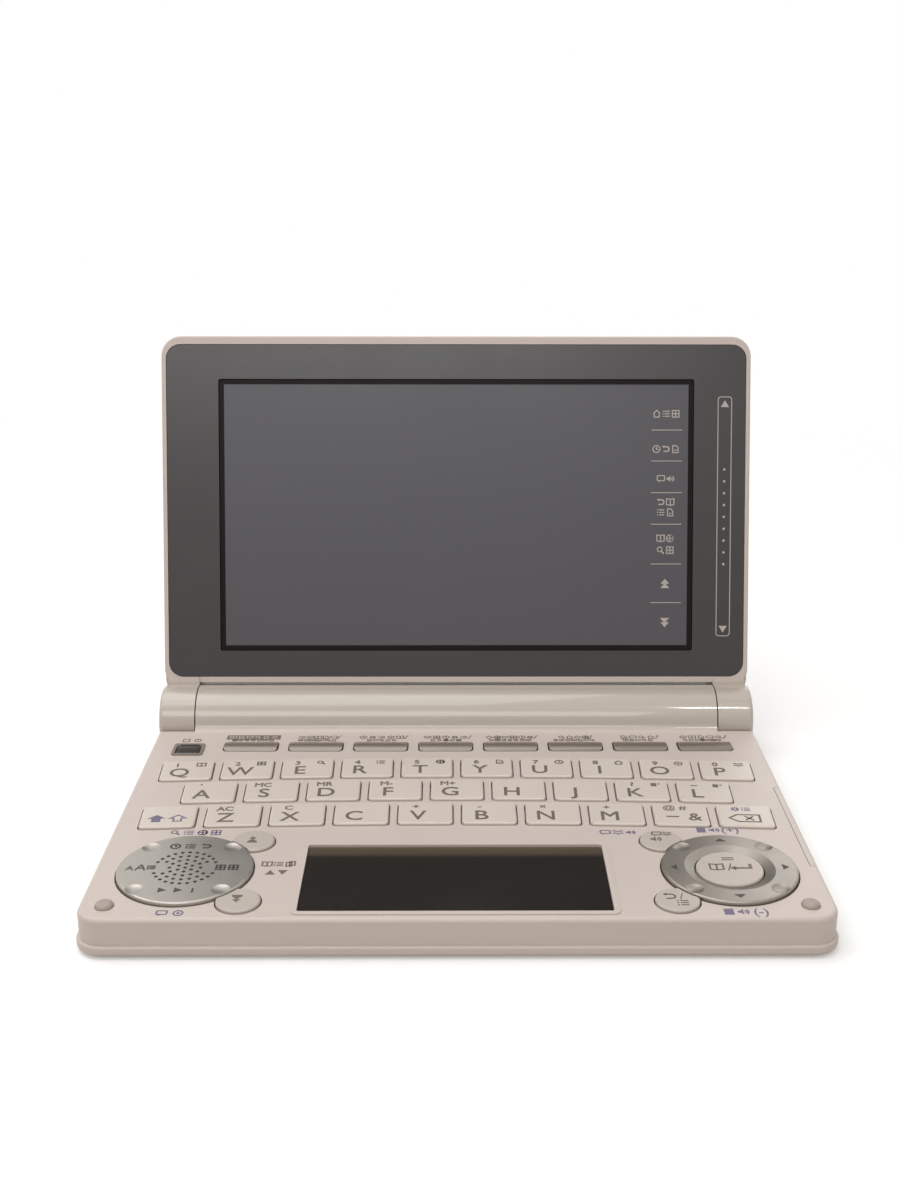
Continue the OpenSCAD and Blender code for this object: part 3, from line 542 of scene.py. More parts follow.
def add(tree, kind, inputs=None, **settings):
    """Adds a node with its settings. Each input is given a value, or the output that feeds it."""
    node = tree.nodes.new(kind)
    for key, value in settings.items():
        setattr(node, key, value)
    for key, value in (inputs or {}).items():
        if isinstance(value, bpy.types.NodeSocket):
            tree.links.new(value, node.inputs[key])
        else:
            node.inputs[key].default_value = value
    return node


def surface(name, **values):
    """A material with its shader's own values, and its tree, shader and Object coordinates."""
    material = bpy.data.materials.new(name)
    material.use_nodes = True
    tree = material.node_tree
    shader = tree.nodes["Principled BSDF"]
    for key, value in values.items():
        shader.inputs[key.replace("_", " ").title().replace("Ior", "IOR")].default_value = value
    place = add(tree, "ShaderNodeTexCoord").outputs["Object"]
    return material, tree, shader, place


def shaded(base, by, channels=(1, 1, 1)):
    """A colour made lighter or darker by a share, which each channel follows in its own measure."""
    return tuple(min(1, c * (1 + by * k)) for c, k in zip(base[:3], channels)) + (1.0,)


def tint(tree, shader, place, base, size, contrast, channels=(1, 1, 1)):
    """Colours a shader in patches of a size in metres, from a little darker to a little lighter."""
    noise = add(tree, "ShaderNodeTexNoise", {"Vector": place, "Scale": 1 / size, "Detail": 3.0})
    mix = add(tree, "ShaderNodeMix", {0: noise.outputs["Fac"], 6: shaded(base, -contrast, channels),
                                      7: shaded(base, contrast, channels)}, data_type="RGBA")
    tree.links.new(mix.outputs[2], shader.inputs["Base Color"])
    return mix.outputs[2]


def uneven_roughness(tree, shader, place, size, low, high):
    """Varies the roughness between two values, in patches of a size in metres."""
    noise = add(tree, "ShaderNodeTexNoise", {"Vector": place, "Scale": 1 / size, "Detail": 2.0})
    spread = add(tree, "ShaderNodeMapRange", {"Value": noise.outputs["Fac"], "From Min": 0.35,
                                              "From Max": 0.65, "To Min": low, "To Max": high})
    tree.links.new(spread.outputs["Result"], shader.inputs["Roughness"])


def relief(tree, shader, height, strength, depth):
    """Bump from a height, whose full range is depth metres."""
    bump = add(tree, "ShaderNodeBump", {"Height": height, "Strength": strength, "Distance": depth})
    tree.links.new(bump.outputs["Normal"], shader.inputs["Normal"])


def fine_grain(tree, shader, place, size, strength, depth, detail=1.0):
    """Relief from a grain of a size in metres."""
    noise = add(tree, "ShaderNodeTexNoise", {"Vector": place, "Scale": 1 / size, "Detail": detail})
    relief(tree, shader, noise.outputs["Fac"], strength, depth)


def near_axis(tree, place):
    """1 within the barrel's radius of the hinge axis, falling to 0 just outside it."""
    split = add(tree, "ShaderNodeSeparateXYZ", {"Vector": place})
    across = add(tree, "ShaderNodeCombineXYZ", {"Y": split.outputs["Y"], "Z": split.outputs["Z"]})
    far = add(tree, "ShaderNodeVectorMath", {0: across.outputs["Vector"], 1: (0, HINGE.y, HINGE.z)},
              operation="DISTANCE")
    return add(tree, "ShaderNodeMapRange", {"Value": far.outputs["Value"], "From Min": BARREL_R + 0.0012,
                                            "From Max": BARREL_R + 0.0002}).outputs["Result"]


def moulded_shell():
    """ABS moulded in a spark-eroded tool: a fine even grain that scatters light.

    The barrel is polished and lacquered, so a small bright lamp shows in it as a sharp streak.
    The real grain is about 0.05 mm wide, and is drawn several times as wide so that it shows.
    """
    case = bpy.context.scene.dictionary_case
    material, tree, shader, place = surface(
        "shell_abs_spark_eroded", ior=1.53, specular_ior_level=0.5, coat_roughness=0.05)
    body = tint(tree, shader, place, case.shell, size=0.045, contrast=0.03, channels=YELLOWING)
    polished = near_axis(tree, place)
    both = add(tree, "ShaderNodeMix", {0: polished, 6: body, 7: case.barrel}, data_type="RGBA")
    tree.links.new(both.outputs[2], shader.inputs["Base Color"])
    worn = add(tree, "ShaderNodeTexNoise", {"Vector": place, "Scale": 1 / 0.014, "Detail": 3.0})
    matt = add(tree, "ShaderNodeMapRange", {"Value": worn.outputs["Fac"], "From Min": 0.3,
                                            "From Max": 0.7, "To Min": 0.40, "To Max": 0.50})
    rough = add(tree, "ShaderNodeMix", {0: polished, 2: matt.outputs["Result"], 3: 0.34},
                data_type="FLOAT")
    tree.links.new(rough.outputs[0], shader.inputs["Roughness"])
    grain = add(tree, "ShaderNodeTexNoise", {"Vector": place, "Scale": 1 / case.grain, "Detail": 2.0,
                                             "Roughness": 0.6})
    strength = add(tree, "ShaderNodeMapRange", {"Value": polished, "To Min": 0.35, "To Max": 0.04})
    relief(tree, shader, grain.outputs["Fac"], strength=strength.outputs["Result"], depth=0.00003)
    lacquer = add(tree, "ShaderNodeMath", {0: polished, 1: 0.8}, operation="MULTIPLY")
    tree.links.new(lacquer.outputs[0], shader.inputs["Coat Weight"])
    return material


def satin_key(name, base):
    """ABS moulded in a finely blasted tool: satin, and a little more polished in patches from use.

    The real blast marks are about 0.03 mm wide, and are drawn 0.25 mm wide so that they show.
    """
    material, tree, shader, place = surface(name, ior=1.53)
    tint(tree, shader, place, base, size=0.02, contrast=0.025, channels=YELLOWING)
    uneven_roughness(tree, shader, place, size=0.009, low=0.34, high=0.44)
    fine_grain(tree, shader, place, size=0.00025, strength=0.2, depth=0.00002, detail=2.0)
    return material


def flake_paint(name, base, flake, metallic, low, high, lacquer=0.1, lacquer_roughness=0.15):
    """Sprayed metallic paint: fine flakes that catch the light one by one under a lacquer.

    flake is the width of a flake in metres, about ten times the real 0.02 mm, so that it shows.
    low and high are the limits of the roughness.
    """
    material, tree, shader, place = surface(
        name, metallic=metallic, coat_weight=lacquer, coat_roughness=lacquer_roughness)
    cells = add(tree, "ShaderNodeTexVoronoi", {"Vector": place, "Scale": 1 / flake})
    value = add(tree, "ShaderNodeSeparateXYZ", {"Vector": cells.outputs["Color"]})
    mix = add(tree, "ShaderNodeMix", {0: value.outputs["X"], 6: shaded(base, -0.05),
                                      7: shaded(base, 0.05)}, data_type="RGBA")
    tree.links.new(mix.outputs[2], shader.inputs["Base Color"])
    uneven_roughness(tree, shader, place, 0.006, low, high)
    relief(tree, shader, value.outputs["Y"], strength=0.12, depth=0.00001)
    return material


def printed_bezel():
    """Acrylic printed dark on its back and satin in front: a deep colour under a soft gloss.

    The front has the faint orange peel of a hard coat, 1.2 mm wide as on a real one.
    """
    base = bpy.context.scene.dictionary_case.bezel
    material, tree, shader, place = surface("bezel_acrylic_printed", ior=1.49, specular_ior_level=0.7)
    tint(tree, shader, place, base, size=0.06, contrast=0.05)
    uneven_roughness(tree, shader, place, size=0.02, low=0.27, high=0.32)
    fine_grain(tree, shader, place, size=0.0012, strength=0.08, depth=0.00002)
    return material


def lit_area(tree, place):
    """1 inside the lit area of the display."""
    moved = add(tree, "ShaderNodeMapping", {"Vector": place, "Location": tuple(HINGE),
                                            "Rotation": (-LEAN, 0, 0)}, vector_type="TEXTURE")
    split = add(tree, "ShaderNodeSeparateXYZ", {"Vector": moved.outputs["Vector"]})
    across = add(tree, "ShaderNodeMath", {0: split.outputs["X"]}, operation="ABSOLUTE")
    area = None
    for source, test, limit in ((across.outputs[0], "LESS_THAN", SCREEN_W / 2),
                                (split.outputs["Z"], "GREATER_THAN", SCREEN_LOW),
                                (split.outputs["Z"], "LESS_THAN", SCREEN_HIGH)):
        inside = add(tree, "ShaderNodeMath", {0: source, 1: limit * MM}, operation=test).outputs[0]
        area = inside if area is None else add(
            tree, "ShaderNodeMath", {0: area, 1: inside}, operation="MULTIPLY").outputs[0]
    return area


def display_glass():
    """Etched anti-glare glass over an unlit panel: a grey haze, and around the lit area a dark band of
    painted shade where the bezel's recess wall casts its shadow.

    The etched pits, about 0.02 mm wide on real glass, are drawn 0.3 mm wide so that they show.
    """
    shades = bpy.context.scene.dictionary_displays
    material, tree, shader, place = surface("display_anti_glare_glass", ior=1.52)
    area = lit_area(tree, place)
    haze = add(tree, "ShaderNodeTexNoise", {"Vector": place, "Scale": 1 / 0.05, "Detail": 2.0})
    lit = add(tree, "ShaderNodeMix", {0: haze.outputs["Fac"], 6: shades.lit,
                                      7: shaded(shades.lit, 0.12)}, data_type="RGBA")
    # painted shade: outside the lit area the glass gets a dark colour and a lower specular level, in
    # place of the recess wall's shadow
    both = add(tree, "ShaderNodeMix", {0: area, 6: shades.recess_shade, 7: lit.outputs[2]}, data_type="RGBA")
    tree.links.new(both.outputs[2], shader.inputs["Base Color"])
    shine = add(tree, "ShaderNodeMapRange", {"Value": area, "To Min": 0.1, "To Max": 0.5})
    tree.links.new(shine.outputs["Result"], shader.inputs["Specular IOR Level"])
    uneven_roughness(tree, shader, place, size=0.03, low=0.31, high=0.35)
    fine_grain(tree, shader, place, size=0.0003, strength=0.1, depth=0.00001)
    return material


def touch_film():
    """Resistive touch film over a small display: near black and glossy, with a painted highlight along
    its back, a paler band in place of light on the lit wall of the panel's recess.
    """
    shades = bpy.context.scene.dictionary_displays
    material, tree, shader, place = surface("writing_panel_touch_film", ior=1.5)
    split = add(tree, "ShaderNodeSeparateXYZ", {"Vector": place})
    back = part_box("sub_display")[1].y
    # painted highlight: the film is drawn paler in a band along its back, in place of light on the recess
    # wall
    margin = add(tree, "ShaderNodeMapRange", {"Value": split.outputs["Y"], "From Min": back - 0.0058,
                                              "From Max": back - 0.0030}, interpolation_type="SMOOTHSTEP")
    smudge = add(tree, "ShaderNodeTexNoise", {"Vector": place, "Scale": 1 / 0.018, "Detail": 4.0})
    film = add(tree, "ShaderNodeMix", {0: smudge.outputs["Fac"], 6: shades.pad,
                                       7: shaded(shades.pad, 0.25)}, data_type="RGBA")
    both = add(tree, "ShaderNodeMix", {0: margin.outputs["Result"], 6: film.outputs[2],
                                       7: shades.margin}, data_type="RGBA")
    tree.links.new(both.outputs[2], shader.inputs["Base Color"])
    spread = add(tree, "ShaderNodeMapRange", {"Value": smudge.outputs["Fac"], "From Min": 0.35,
                                              "From Max": 0.7, "To Min": 0.10, "To Max": 0.18})
    tree.links.new(spread.outputs["Result"], shader.inputs["Roughness"])
    return material


def pad_ink(name, base):
    """Screen or pad print: a matt layer whose density varies a little."""
    material, tree, shader, place = surface(name, ior=1.5)
    tint(tree, shader, place, base, size=0.0012, contrast=0.12)
    uneven_roughness(tree, shader, place, size=0.002, low=0.5, high=0.62)
    return material


def inks(*names):
    """The named inks, each made once and shared by all prints."""
    prints = bpy.context.scene.dictionary_prints
    return [bpy.data.materials.get("ink_" + name) or pad_ink("ink_" + name, getattr(prints, name))
            for name in names]


def polished_key():
    """Dark ABS moulded in a polished tool: glossy, and a little duller in small patches from use."""
    material, tree, shader, place = surface(
        "power_key_abs_polished", ior=1.53, coat_weight=0.3, coat_roughness=0.1)
    tint(tree, shader, place, linear("#2B2523"), size=0.004, contrast=0.08)
    uneven_roughness(tree, shader, place, size=0.0015, low=0.16, high=0.26)
    return material


def rubber_parts():
    """Soft rubber, moulded: matt and slightly powdery. The deck's bumpers are paler than the feet.

    The powder is drawn in specks of 0.6 mm, coarser than real ones, so that it shows.
    """
    base = bpy.context.scene.dictionary_case.rubber
    material, tree, shader, place = surface("feet_and_bumpers_rubber", ior=1.5)
    split = add(tree, "ShaderNodeSeparateXYZ", {"Vector": place})
    top = add(tree, "ShaderNodeMath", {0: split.outputs["Z"], 1: DECK_Z / 2}, operation="GREATER_THAN")
    powder = add(tree, "ShaderNodeTexNoise", {"Vector": place, "Scale": 1 / 0.0006, "Detail": 3.0})
    bumper = add(tree, "ShaderNodeMix", {0: powder.outputs["Fac"], 6: base, 7: shaded(base, 0.08)},
                 data_type="RGBA")
    both = add(tree, "ShaderNodeMix", {0: top.outputs[0], 6: linear("#6B6560"), 7: bumper.outputs[2]},
               data_type="RGBA")
    tree.links.new(both.outputs[2], shader.inputs["Base Color"])
    uneven_roughness(tree, shader, place, size=0.002, low=0.5, high=0.68)
    relief(tree, shader, powder.outputs["Fac"], strength=0.2, depth=0.00002)
    return material


def mat_silicone():
    """Silicone rubber, compression moulded: grey, dull and a little translucent."""
    material, tree, shader, place = surface("key_mat_silicone", ior=1.41, subsurface_weight=0.1)
    tint(tree, shader, place, linear("#8C8F92"), size=0.008, contrast=0.05)
    uneven_roughness(tree, shader, place, size=0.003, low=0.5, high=0.62)
    return material


def turned_steel():
    """Nickel-plated steel: bright, with turning lines 0.12 mm apart around the head."""
    material, tree, shader, place = surface("screws_and_pins_nickel_steel", metallic=1.0)
    tint(tree, shader, place, linear("#B4B2AE"), size=0.002, contrast=0.06)
    uneven_roughness(tree, shader, place, size=0.0008, low=0.22, high=0.36)
    lines = add(tree, "ShaderNodeTexWave", {"Vector": place, "Scale": 1 / 0.00012, "Distortion": 1.0},
                wave_type="RINGS", rings_direction="Z")
    relief(tree, shader, lines.outputs["Fac"], strength=0.1, depth=0.000005)
    return material


def circuit_board():
    """Solder-masked glass-fibre board: green gloss over a faint 0.5 mm weave, dark chips below."""
    material, tree, shader, place = surface(
        "board_solder_mask", ior=1.5, coat_weight=0.3, coat_roughness=0.2)
    weave = add(tree, "ShaderNodeTexChecker", {"Vector": place, "Color1": linear("#2C6743"),
                                               "Color2": linear("#2F6D47"), "Scale": 1 / 0.0005})
    split = add(tree, "ShaderNodeSeparateXYZ", {"Vector": place})
    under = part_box("main_board")[0].z + 0.0016  # lower face of the board, above the chips
    chips = add(tree, "ShaderNodeMath", {0: split.outputs["Z"], 1: under}, operation="LESS_THAN")
    both = add(tree, "ShaderNodeMix", {0: chips.outputs[0], 6: weave.outputs["Color"],
                                       7: linear("#26241F")}, data_type="RGBA")
    tree.links.new(both.outputs[2], shader.inputs["Base Color"])
    uneven_roughness(tree, shader, place, size=0.004, low=0.3, high=0.42)
    return material


def sleeved_cell():
    """Battery cell: a printed plastic sleeve over a steel can, with bare metal ends."""
    material, tree, shader, place = surface(
        "cells_plastic_sleeve", ior=1.5, coat_weight=0.5, coat_roughness=0.15)
    split = add(tree, "ShaderNodeSeparateXYZ", {"Vector": place})
    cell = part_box("battery_cells")[1].x
    along = add(tree, "ShaderNodeMath", {0: split.outputs["X"], 1: cell / 2}, operation="PINGPONG")
    end = add(tree, "ShaderNodeMath", {0: along.outputs[0], 1: 0.0012}, operation="LESS_THAN")
    band = add(tree, "ShaderNodeMath", {0: along.outputs[0], 1: cell * 0.36}, operation="GREATER_THAN")
    sleeve = add(tree, "ShaderNodeMix", {0: band.outputs[0], 6: linear("#3A4654"),
                                         7: linear("#8E8F8B")}, data_type="RGBA")
    both = add(tree, "ShaderNodeMix", {0: end.outputs[0], 6: sleeve.outputs[2],
                                       7: linear("#A9A7A2")}, data_type="RGBA")
    tree.links.new(both.outputs[2], shader.inputs["Base Color"])
    tree.links.new(end.outputs[0], shader.inputs["Metallic"])
    uneven_roughness(tree, shader, place, size=0.005, low=0.28, high=0.36)
    return material


def finish_nodes(material, *nodes):
    """Gives CAD nodes a material."""
    for name in nodes:
        for slot in frame["nodes"][name].material_slots:
            slot.material = material


# ---- Repeats ----

def grow_nodes(name, body, material, build, sizes, place, turn=(0, 0, 0)):
    """Runs a Geometry Nodes tree once and keeps its result as a plain mesh.

    build makes the tree's own nodes and returns the output with the instances. sizes are its
    named inputs, in metres and radians, and place and turn say where the result goes.
    """
    tree = bpy.data.node_groups.new(name, "GeometryNodeTree")
    tree.interface.new_socket("Geometry", in_out="OUTPUT", socket_type="NodeSocketGeometry")
    for key, value in sizes.items():
        kind = "NodeSocketInt" if isinstance(value, int) else "NodeSocketFloat"
        tree.interface.new_socket(key, in_out="INPUT", socket_type=kind)
    instances = build(tree, add(tree, "NodeGroupInput").outputs)
    moved = add(tree, "GeometryNodeTransform",
                {"Geometry": instances, "Translation": place, "Rotation": turn})
    real = add(tree, "GeometryNodeRealizeInstances", {"Geometry": moved.outputs[0]})
    dressed = add(tree, "GeometryNodeSetMaterial", {"Geometry": real.outputs[0], "Material": material})
    add(tree, "NodeGroupOutput", {"Geometry": dressed.outputs[0]})
    holder = linked(name, bpy.data.meshes.new(name + "_start"))
    modifier = holder.modifiers.new("grow", "NODES")
    modifier.node_group = tree
    for item in tree.interface.items_tree:
        if item.in_out == "INPUT":
            modifier[item.identifier] = sizes[item.name]
    mesh = evaluated_mesh(holder)
    if not mesh.polygons:
        raise RuntimeError("the tree " + name + " made nothing")
    piece(name, mesh, (), body)


def pointer_tree(tree, sizes):
    """Flat pointers around a centre, each turned outwards."""
    circle = add(tree, "GeometryNodeMeshCircle", {"Vertices": sizes["Count"], "Radius": sizes["Radius"]},
                 fill_type="NONE")
    flat = add(tree, "GeometryNodeMeshCylinder",
               {"Vertices": 3, "Radius": sizes["Pointer"], "Depth": sizes["Thickness"]})
    wide = add(tree, "GeometryNodeTransform",
               {"Geometry": flat.outputs["Mesh"], "Scale": (0.75, 1.15, 1)})
    spot = add(tree, "GeometryNodeInputPosition")
    out = add(tree, "FunctionNodeAlignRotationToVector", {"Vector": spot.outputs[0]},
              axis="X", pivot_axis="Z")
    return add(tree, "GeometryNodeInstanceOnPoints",
               {"Points": circle.outputs["Mesh"], "Instance": wide.outputs[0],
                "Rotation": out.outputs[0]}).outputs[0]


def rib_tree(tree, sizes):
    """Rods on an arc in X and Y, parallel to Z."""
    path = add(tree, "GeometryNodeCurveArc",
               {"Resolution": 6, "Radius": sizes["Radius"], "Start Angle": sizes["Start"],
                "Sweep Angle": sizes["Sweep"]})
    points = add(tree, "GeometryNodeResampleCurve",
                 {"Curve": path.outputs["Curve"], "Count": sizes["Count"]})
    rod = add(tree, "GeometryNodeMeshCylinder",
              {"Vertices": 12, "Side Segments": 1, "Radius": sizes["Rib"], "Depth": sizes["Length"]})
    return add(tree, "GeometryNodeInstanceOnPoints",
               {"Points": points.outputs[0], "Instance": rod.outputs["Mesh"]}).outputs[0]


# ---- Operators ----

class DICTIONARY_OT_shells(bpy.types.Operator):
    """Finish the case, the lid, the battery cover and the stylus"""
    bl_idname = "dictionary.shells"
    bl_label = "Shells"

    RIBS = {"Count": 6, "Radius": BARREL_R, "Start": math.radians(-42), "Sweep": math.radians(30),
            "Rib": 0.00028, "Length": 0.018}
    RIB_TURN = (math.pi / 2, 0, math.pi / 2)  # X becomes Y, Y becomes Z, and the rods lie along X
    ARROW_W, ARROW_H = 5, 4.2                 # open arrow on the cover, mm
    ARROW_AT = math.radians(-100)             # around the barrel, from its top to the rear
    ARROW_IN = 0.35                           # middle of the flat arrow under the round cover, mm

    def execute(self, context):
        shell = moulded_shell()
        finish_nodes(shell, "lower_case", "upper_case", "battery_cover", "lid_rear_cover",
                     "lid_front_frame", "stylus")
        grow_nodes("cover_grip_ribs", "cover_body", shell, rib_tree, self.RIBS,
                   tuple(HINGE), self.RIB_TURN)
        ink = Ink()
        ink.triangle(0, 0, self.ARROW_W, self.ARROW_H)
        place = (Matrix.Translation(HINGE) @ Matrix.Rotation(self.ARROW_AT, 4, "X")
                 @ Matrix.Translation((0, 0, BARREL_R - self.ARROW_IN * MM)) @ Matrix.Scale(MM, 4))
        ink.finish("cover_open_arrow", place, "cover_body", inks("brown"))
        return {"FINISHED"}


class DICTIONARY_OT_keys(bpy.types.Operator):
    """Finish the letter keys, the round keys, the shortcut keys and the power key"""
    bl_idname = "dictionary.keys"
    bl_label = "Keys"

    def execute(self, context):
        case = context.scene.dictionary_case
        letters = [n for n in frame["nodes"] if n.startswith("key_") and n != "key_mat"]
        finish_nodes(satin_key("key_abs_satin", case.key), *letters)
        finish_nodes(satin_key("round_key_abs_satin", case.round_key), "enter_key", "page_up_key",
                     "page_down_key", "voice_key", "back_key")
        paint = flake_paint("shortcut_paint_metallic", case.shortcut, flake=0.0002, metallic=0.3,
                            low=0.28, high=0.34, lacquer=0.5, lacquer_roughness=0.06)
        finish_nodes(paint, *[n for n in frame["nodes"] if n.startswith("shortcut_key_")])
        finish_nodes(polished_key(), "power_key")
        return {"FINISHED"}


class DICTIONARY_OT_letters(bpy.types.Operator):
    """Print the letter keys: a letter, a digit or sign above it, and a small pictogram"""
    bl_idname = "dictionary.letters"
    bl_label = "Letter legends"

    ROWS = ("qwertyuiop", "asdfghjkl", "zxcvbnm")
    LETTER_X, LETTER_Y, LETTER_BOLD = -1.6, -1.3, 0.08
    SMALL_X, SMALL_Y, SMALL_BOLD = -2.4, 2.6, 0.09
    SIDE_X, SIDE_SIZE, SIDE_PEN = 3.1, 2.2, 0.38
    # signs above the letters of the lower two rows
    ABOVE = {"a": "'", "s": "MC", "d": "MR", "f": "M-", "g": "M+", "k": "?", "l": "~",
             "z": "AC", "x": "C", "v": "+", "b": "-", "n": "×", "m": "÷"}
    ARROW = ((-1.0, -1.6), (-1.0, 0.0), (-2.0, 0.0), (0.0, 1.7), (2.0, 0.0), (1.0, 0.0), (1.0, -1.6))

    def letter(self, name, row, column):
        prints = bpy.context.scene.dictionary_prints
        small = prints.small_height / MM
        ink = Ink(self.SIDE_PEN)
        ink.text(name.upper(), self.LETTER_X, self.LETTER_Y, prints.letter_height / MM, self.LETTER_BOLD)
        if row == 0:
            ink.text(str((column + 1) % 10), self.SMALL_X, self.SMALL_Y, small, self.SMALL_BOLD)
            SIGNS[column](ink, self.SIDE_X, self.SMALL_Y, self.SIDE_SIZE)
        elif name in self.ABOVE:
            ink.text(self.ABOVE[name], self.SMALL_X + 0.3, self.SMALL_Y + 0.2, small, self.SMALL_BOLD)
            if name in "kl":
                ink.block(self.SIDE_X - 0.3, self.SMALL_Y + 0.1, 1.3, 1.6)
                ink.text("+", self.SIDE_X + 0.9, self.SMALL_Y + 0.5, 1.0)
        ink.legend(name, "key_" + name)

    def shift(self):
        """A filled arrow and an open one."""
        ink = Ink(shade=VIOLET)
        ink.area([(x - 2.5, y - 1.1) for x, y in self.ARROW])
        ink.line([(x * 0.85 + 2.1, y * 0.85 - 1.1) for x, y in self.ARROW], 0.42, closed=True)
        ink.legend("shift", "key_shift")

    def symbol(self):
        ink = Ink()
        ink.text("@ #", -1.1, 3.0, 1.9)
        ink.block(-1.9, -1.2, 2.8, 0.55)
        ink.text("&", 3.0, -1.2, 3.2, 0.09)
        ink.legend("symbol", "key_symbol")

    def delete(self):
        """A cross in a tab that points left, under two small pictograms."""
        ink = Ink(pen=0.48)
        ink.line([(-3.6, -1.3), (-1.8, 0.3), (3.0, 0.3), (3.0, -2.9), (-1.8, -2.9)], closed=True)
        sign_cross(ink, 0.7, -1.3, 2.6)
        ink.shade, ink.pen = VIOLET, 0.32
        side_by_side(ink, (sign_gear, sign_list), -0.7, 2.9, 2.4, 2.2)
        ink.legend("delete", "key_delete")

    def execute(self, context):
        for row, names in enumerate(self.ROWS):
            for column, name in enumerate(names):
                self.letter(name, row, column)
        self.shift()
        self.symbol()
        self.delete()
        return {"FINISHED"}


class DICTIONARY_OT_shortcut_labels(bpy.types.Operator):
    """Print the labels behind the shortcut keys and above the power key"""
    bl_idname = "dictionary.shortcut_labels"
    bl_label = "Shortcut labels"

    # width of each label's back row and front row, in mm
    WIDTHS = ((13.2, 10.5), (9.6, 9.5), (11.3, 7.5), (11.1, 8.0),
              (12.0, 10.5), (7.7, 10.5), (8.9, 7.5), (11.1, 9.5))
    BACK_Y, BACK_SIZE = 84.3, 1.9
    FRONT_Y, FRONT_SIZE = 82.6, 1.3
    POWER_Y = 82.5

    def execute(self, context):
        ink = Ink(pen=0.31)
        for i, (back, front) in enumerate(self.WIDTHS):
            x = middle("shortcut_key_%d" % (i + 1)).x / MM
            if i == 0:
                ink.block(x, self.BACK_Y, back, 2.5)
                self.reversed_label(x, back - 1.0)
            else:
                label(ink, x, self.BACK_Y, back, self.BACK_SIZE, i * 3)
                ink.line([(x + back / 2 - 0.1, self.BACK_Y - 1.0),
                          (x + back / 2 + 0.8, self.BACK_Y + 1.1)])
            label(ink, x, self.FRONT_Y, front, self.FRONT_SIZE, i * 2 + 1)
        x = middle("power_key").x / MM
        ink.box(x - 1.4, self.POWER_Y, 1.5, 1.5, 0.3)
        ink.circle(x + 1.4, self.POWER_Y, 0.75, 0.3)
        ink.line([(x + 1.4, self.POWER_Y), (x + 1.4, self.POWER_Y + 1)], 0.3)
        ink.finish("shortcut_labels", ON_DECK, "base")
        return {"FINISHED"}

    def reversed_label(self, x, width):
        """Pale marks on top of the dark patch behind the first key."""
        ink = Ink(pen=0.26, low=INK_HIGH - 0.005, high=INK_HIGH + 0.015)
        label(ink, x, self.BACK_Y, width, 1.7, 0)
        ink.finish("shortcut_label_reversed", ON_DECK, "base", inks("pale"))


class DICTIONARY_OT_round_controls(bpy.types.Operator):
    """Finish the speaker disc and the cursor ring, and print them and the keys around them"""
    bl_idname = "dictionary.round_controls"
    bl_label = "Round controls"

    SILVER = {"flake": 0.00016, "metallic": 0.72, "low": 0.32, "high": 0.38}
    POINTERS = {"Count": 4, "Radius": 0.0112, "Pointer": 0.0012, "Thickness": 0.00004}

    def disc(self):
        """Pictograms on the disc's four sides, around the sound holes."""
        ink = Ink(pen=0.42)
        side_by_side(ink, (sign_clock, sign_list, sign_return), -0.3, 8.9, 3.2, 2.3)
        ink.text("A", -11.2, -0.2, 1.6)
        ink.text("A", -9.0, 0.1, 2.3)
        sign_list(ink, -6.8, 0.1, 1.9)
        side_by_side(ink, (sign_grid, sign_grid), 8.5, 0.1, 2.6, 2.2)
        ink.line([(3.0, -9.9), (3.0, -8.2)])
        for x in (-3.0, 0.2):
            ink.triangle(x, -8.9, 1.9, 1.7, -90)
        ink.finish("legend_speaker_disc", on_top("speaker_disc"), "speaker_disc_body",
                   inks("dark"))

    def ring(self):
        """Four pointers on the ring, and the enter key's pictograms."""
        centre = middle("cursor_ring")
        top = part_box("cursor_ring")[1].z
        grow_nodes("ring_pointers", "cursor_ring_body", inks("dark")[0], pointer_tree,
                   self.POINTERS, (centre.x, centre.y, top))
        ink = Ink(pen=0.42)
        for y in (4.2, 3.4):
            ink.block(0.2, y, 2.5, 0.4)
        sign_enter(ink, 2.2, 0.4, 4.2)
        sign_book(ink, -2.6, 0.4, 3.0)
        ink.line([(-0.4, -1.1), (0.5, 1.8)], 0.3)
        ink.legend("enter", "enter_key")

    def round_keys(self):
        """Two page keys beside the disc, and a voice and a back key beside the ring."""
        for key, end in (("page_up_key", 1), ("page_down_key", -1)):
            ink = Ink()
            for step, width in ((0.75, 1.7), (-0.35, 2.1)):
                ink.triangle(-0.3, 0.3 + end * step, width, 1.1, 0 if end > 0 else 180)
            ink.block(-0.3, 0.3 - end * 1.2, 2.1, 0.5)
            ink.legend(key, key, on_round_key("speaker_disc", 1, end))
        ink = Ink()
        sign_sound(ink, -1.0, 0.2, 2.6)
        ink.pen = 0.34
        sign_speech(ink, -0.6, 2.5, 2.1)
        sign_wave(ink, 1.6, 2.5, 1.8)
        ink.legend("voice_key", "voice_key", on_round_key("cursor_ring", -1, 1))
        ink = Ink()
        sign_return(ink, -1.4, 1.0, 2.8)
        sign_list(ink, 0.9, -1.4, 2.6)
        ink.line([(0.6, 0.0), (1.2, 2.2)], 0.25)
        ink.legend("back_key", "back_key", on_round_key("cursor_ring", -1, -1))

    def execute(self, context):
        case = context.scene.dictionary_case
        finish_nodes(flake_paint("disc_paint_silver", case.disc, **self.SILVER), "speaker_disc")
        finish_nodes(flake_paint("ring_paint_silver", case.ring, **self.SILVER), "cursor_ring")
        self.disc()
        self.ring()
        self.round_keys()
        return {"FINISHED"}


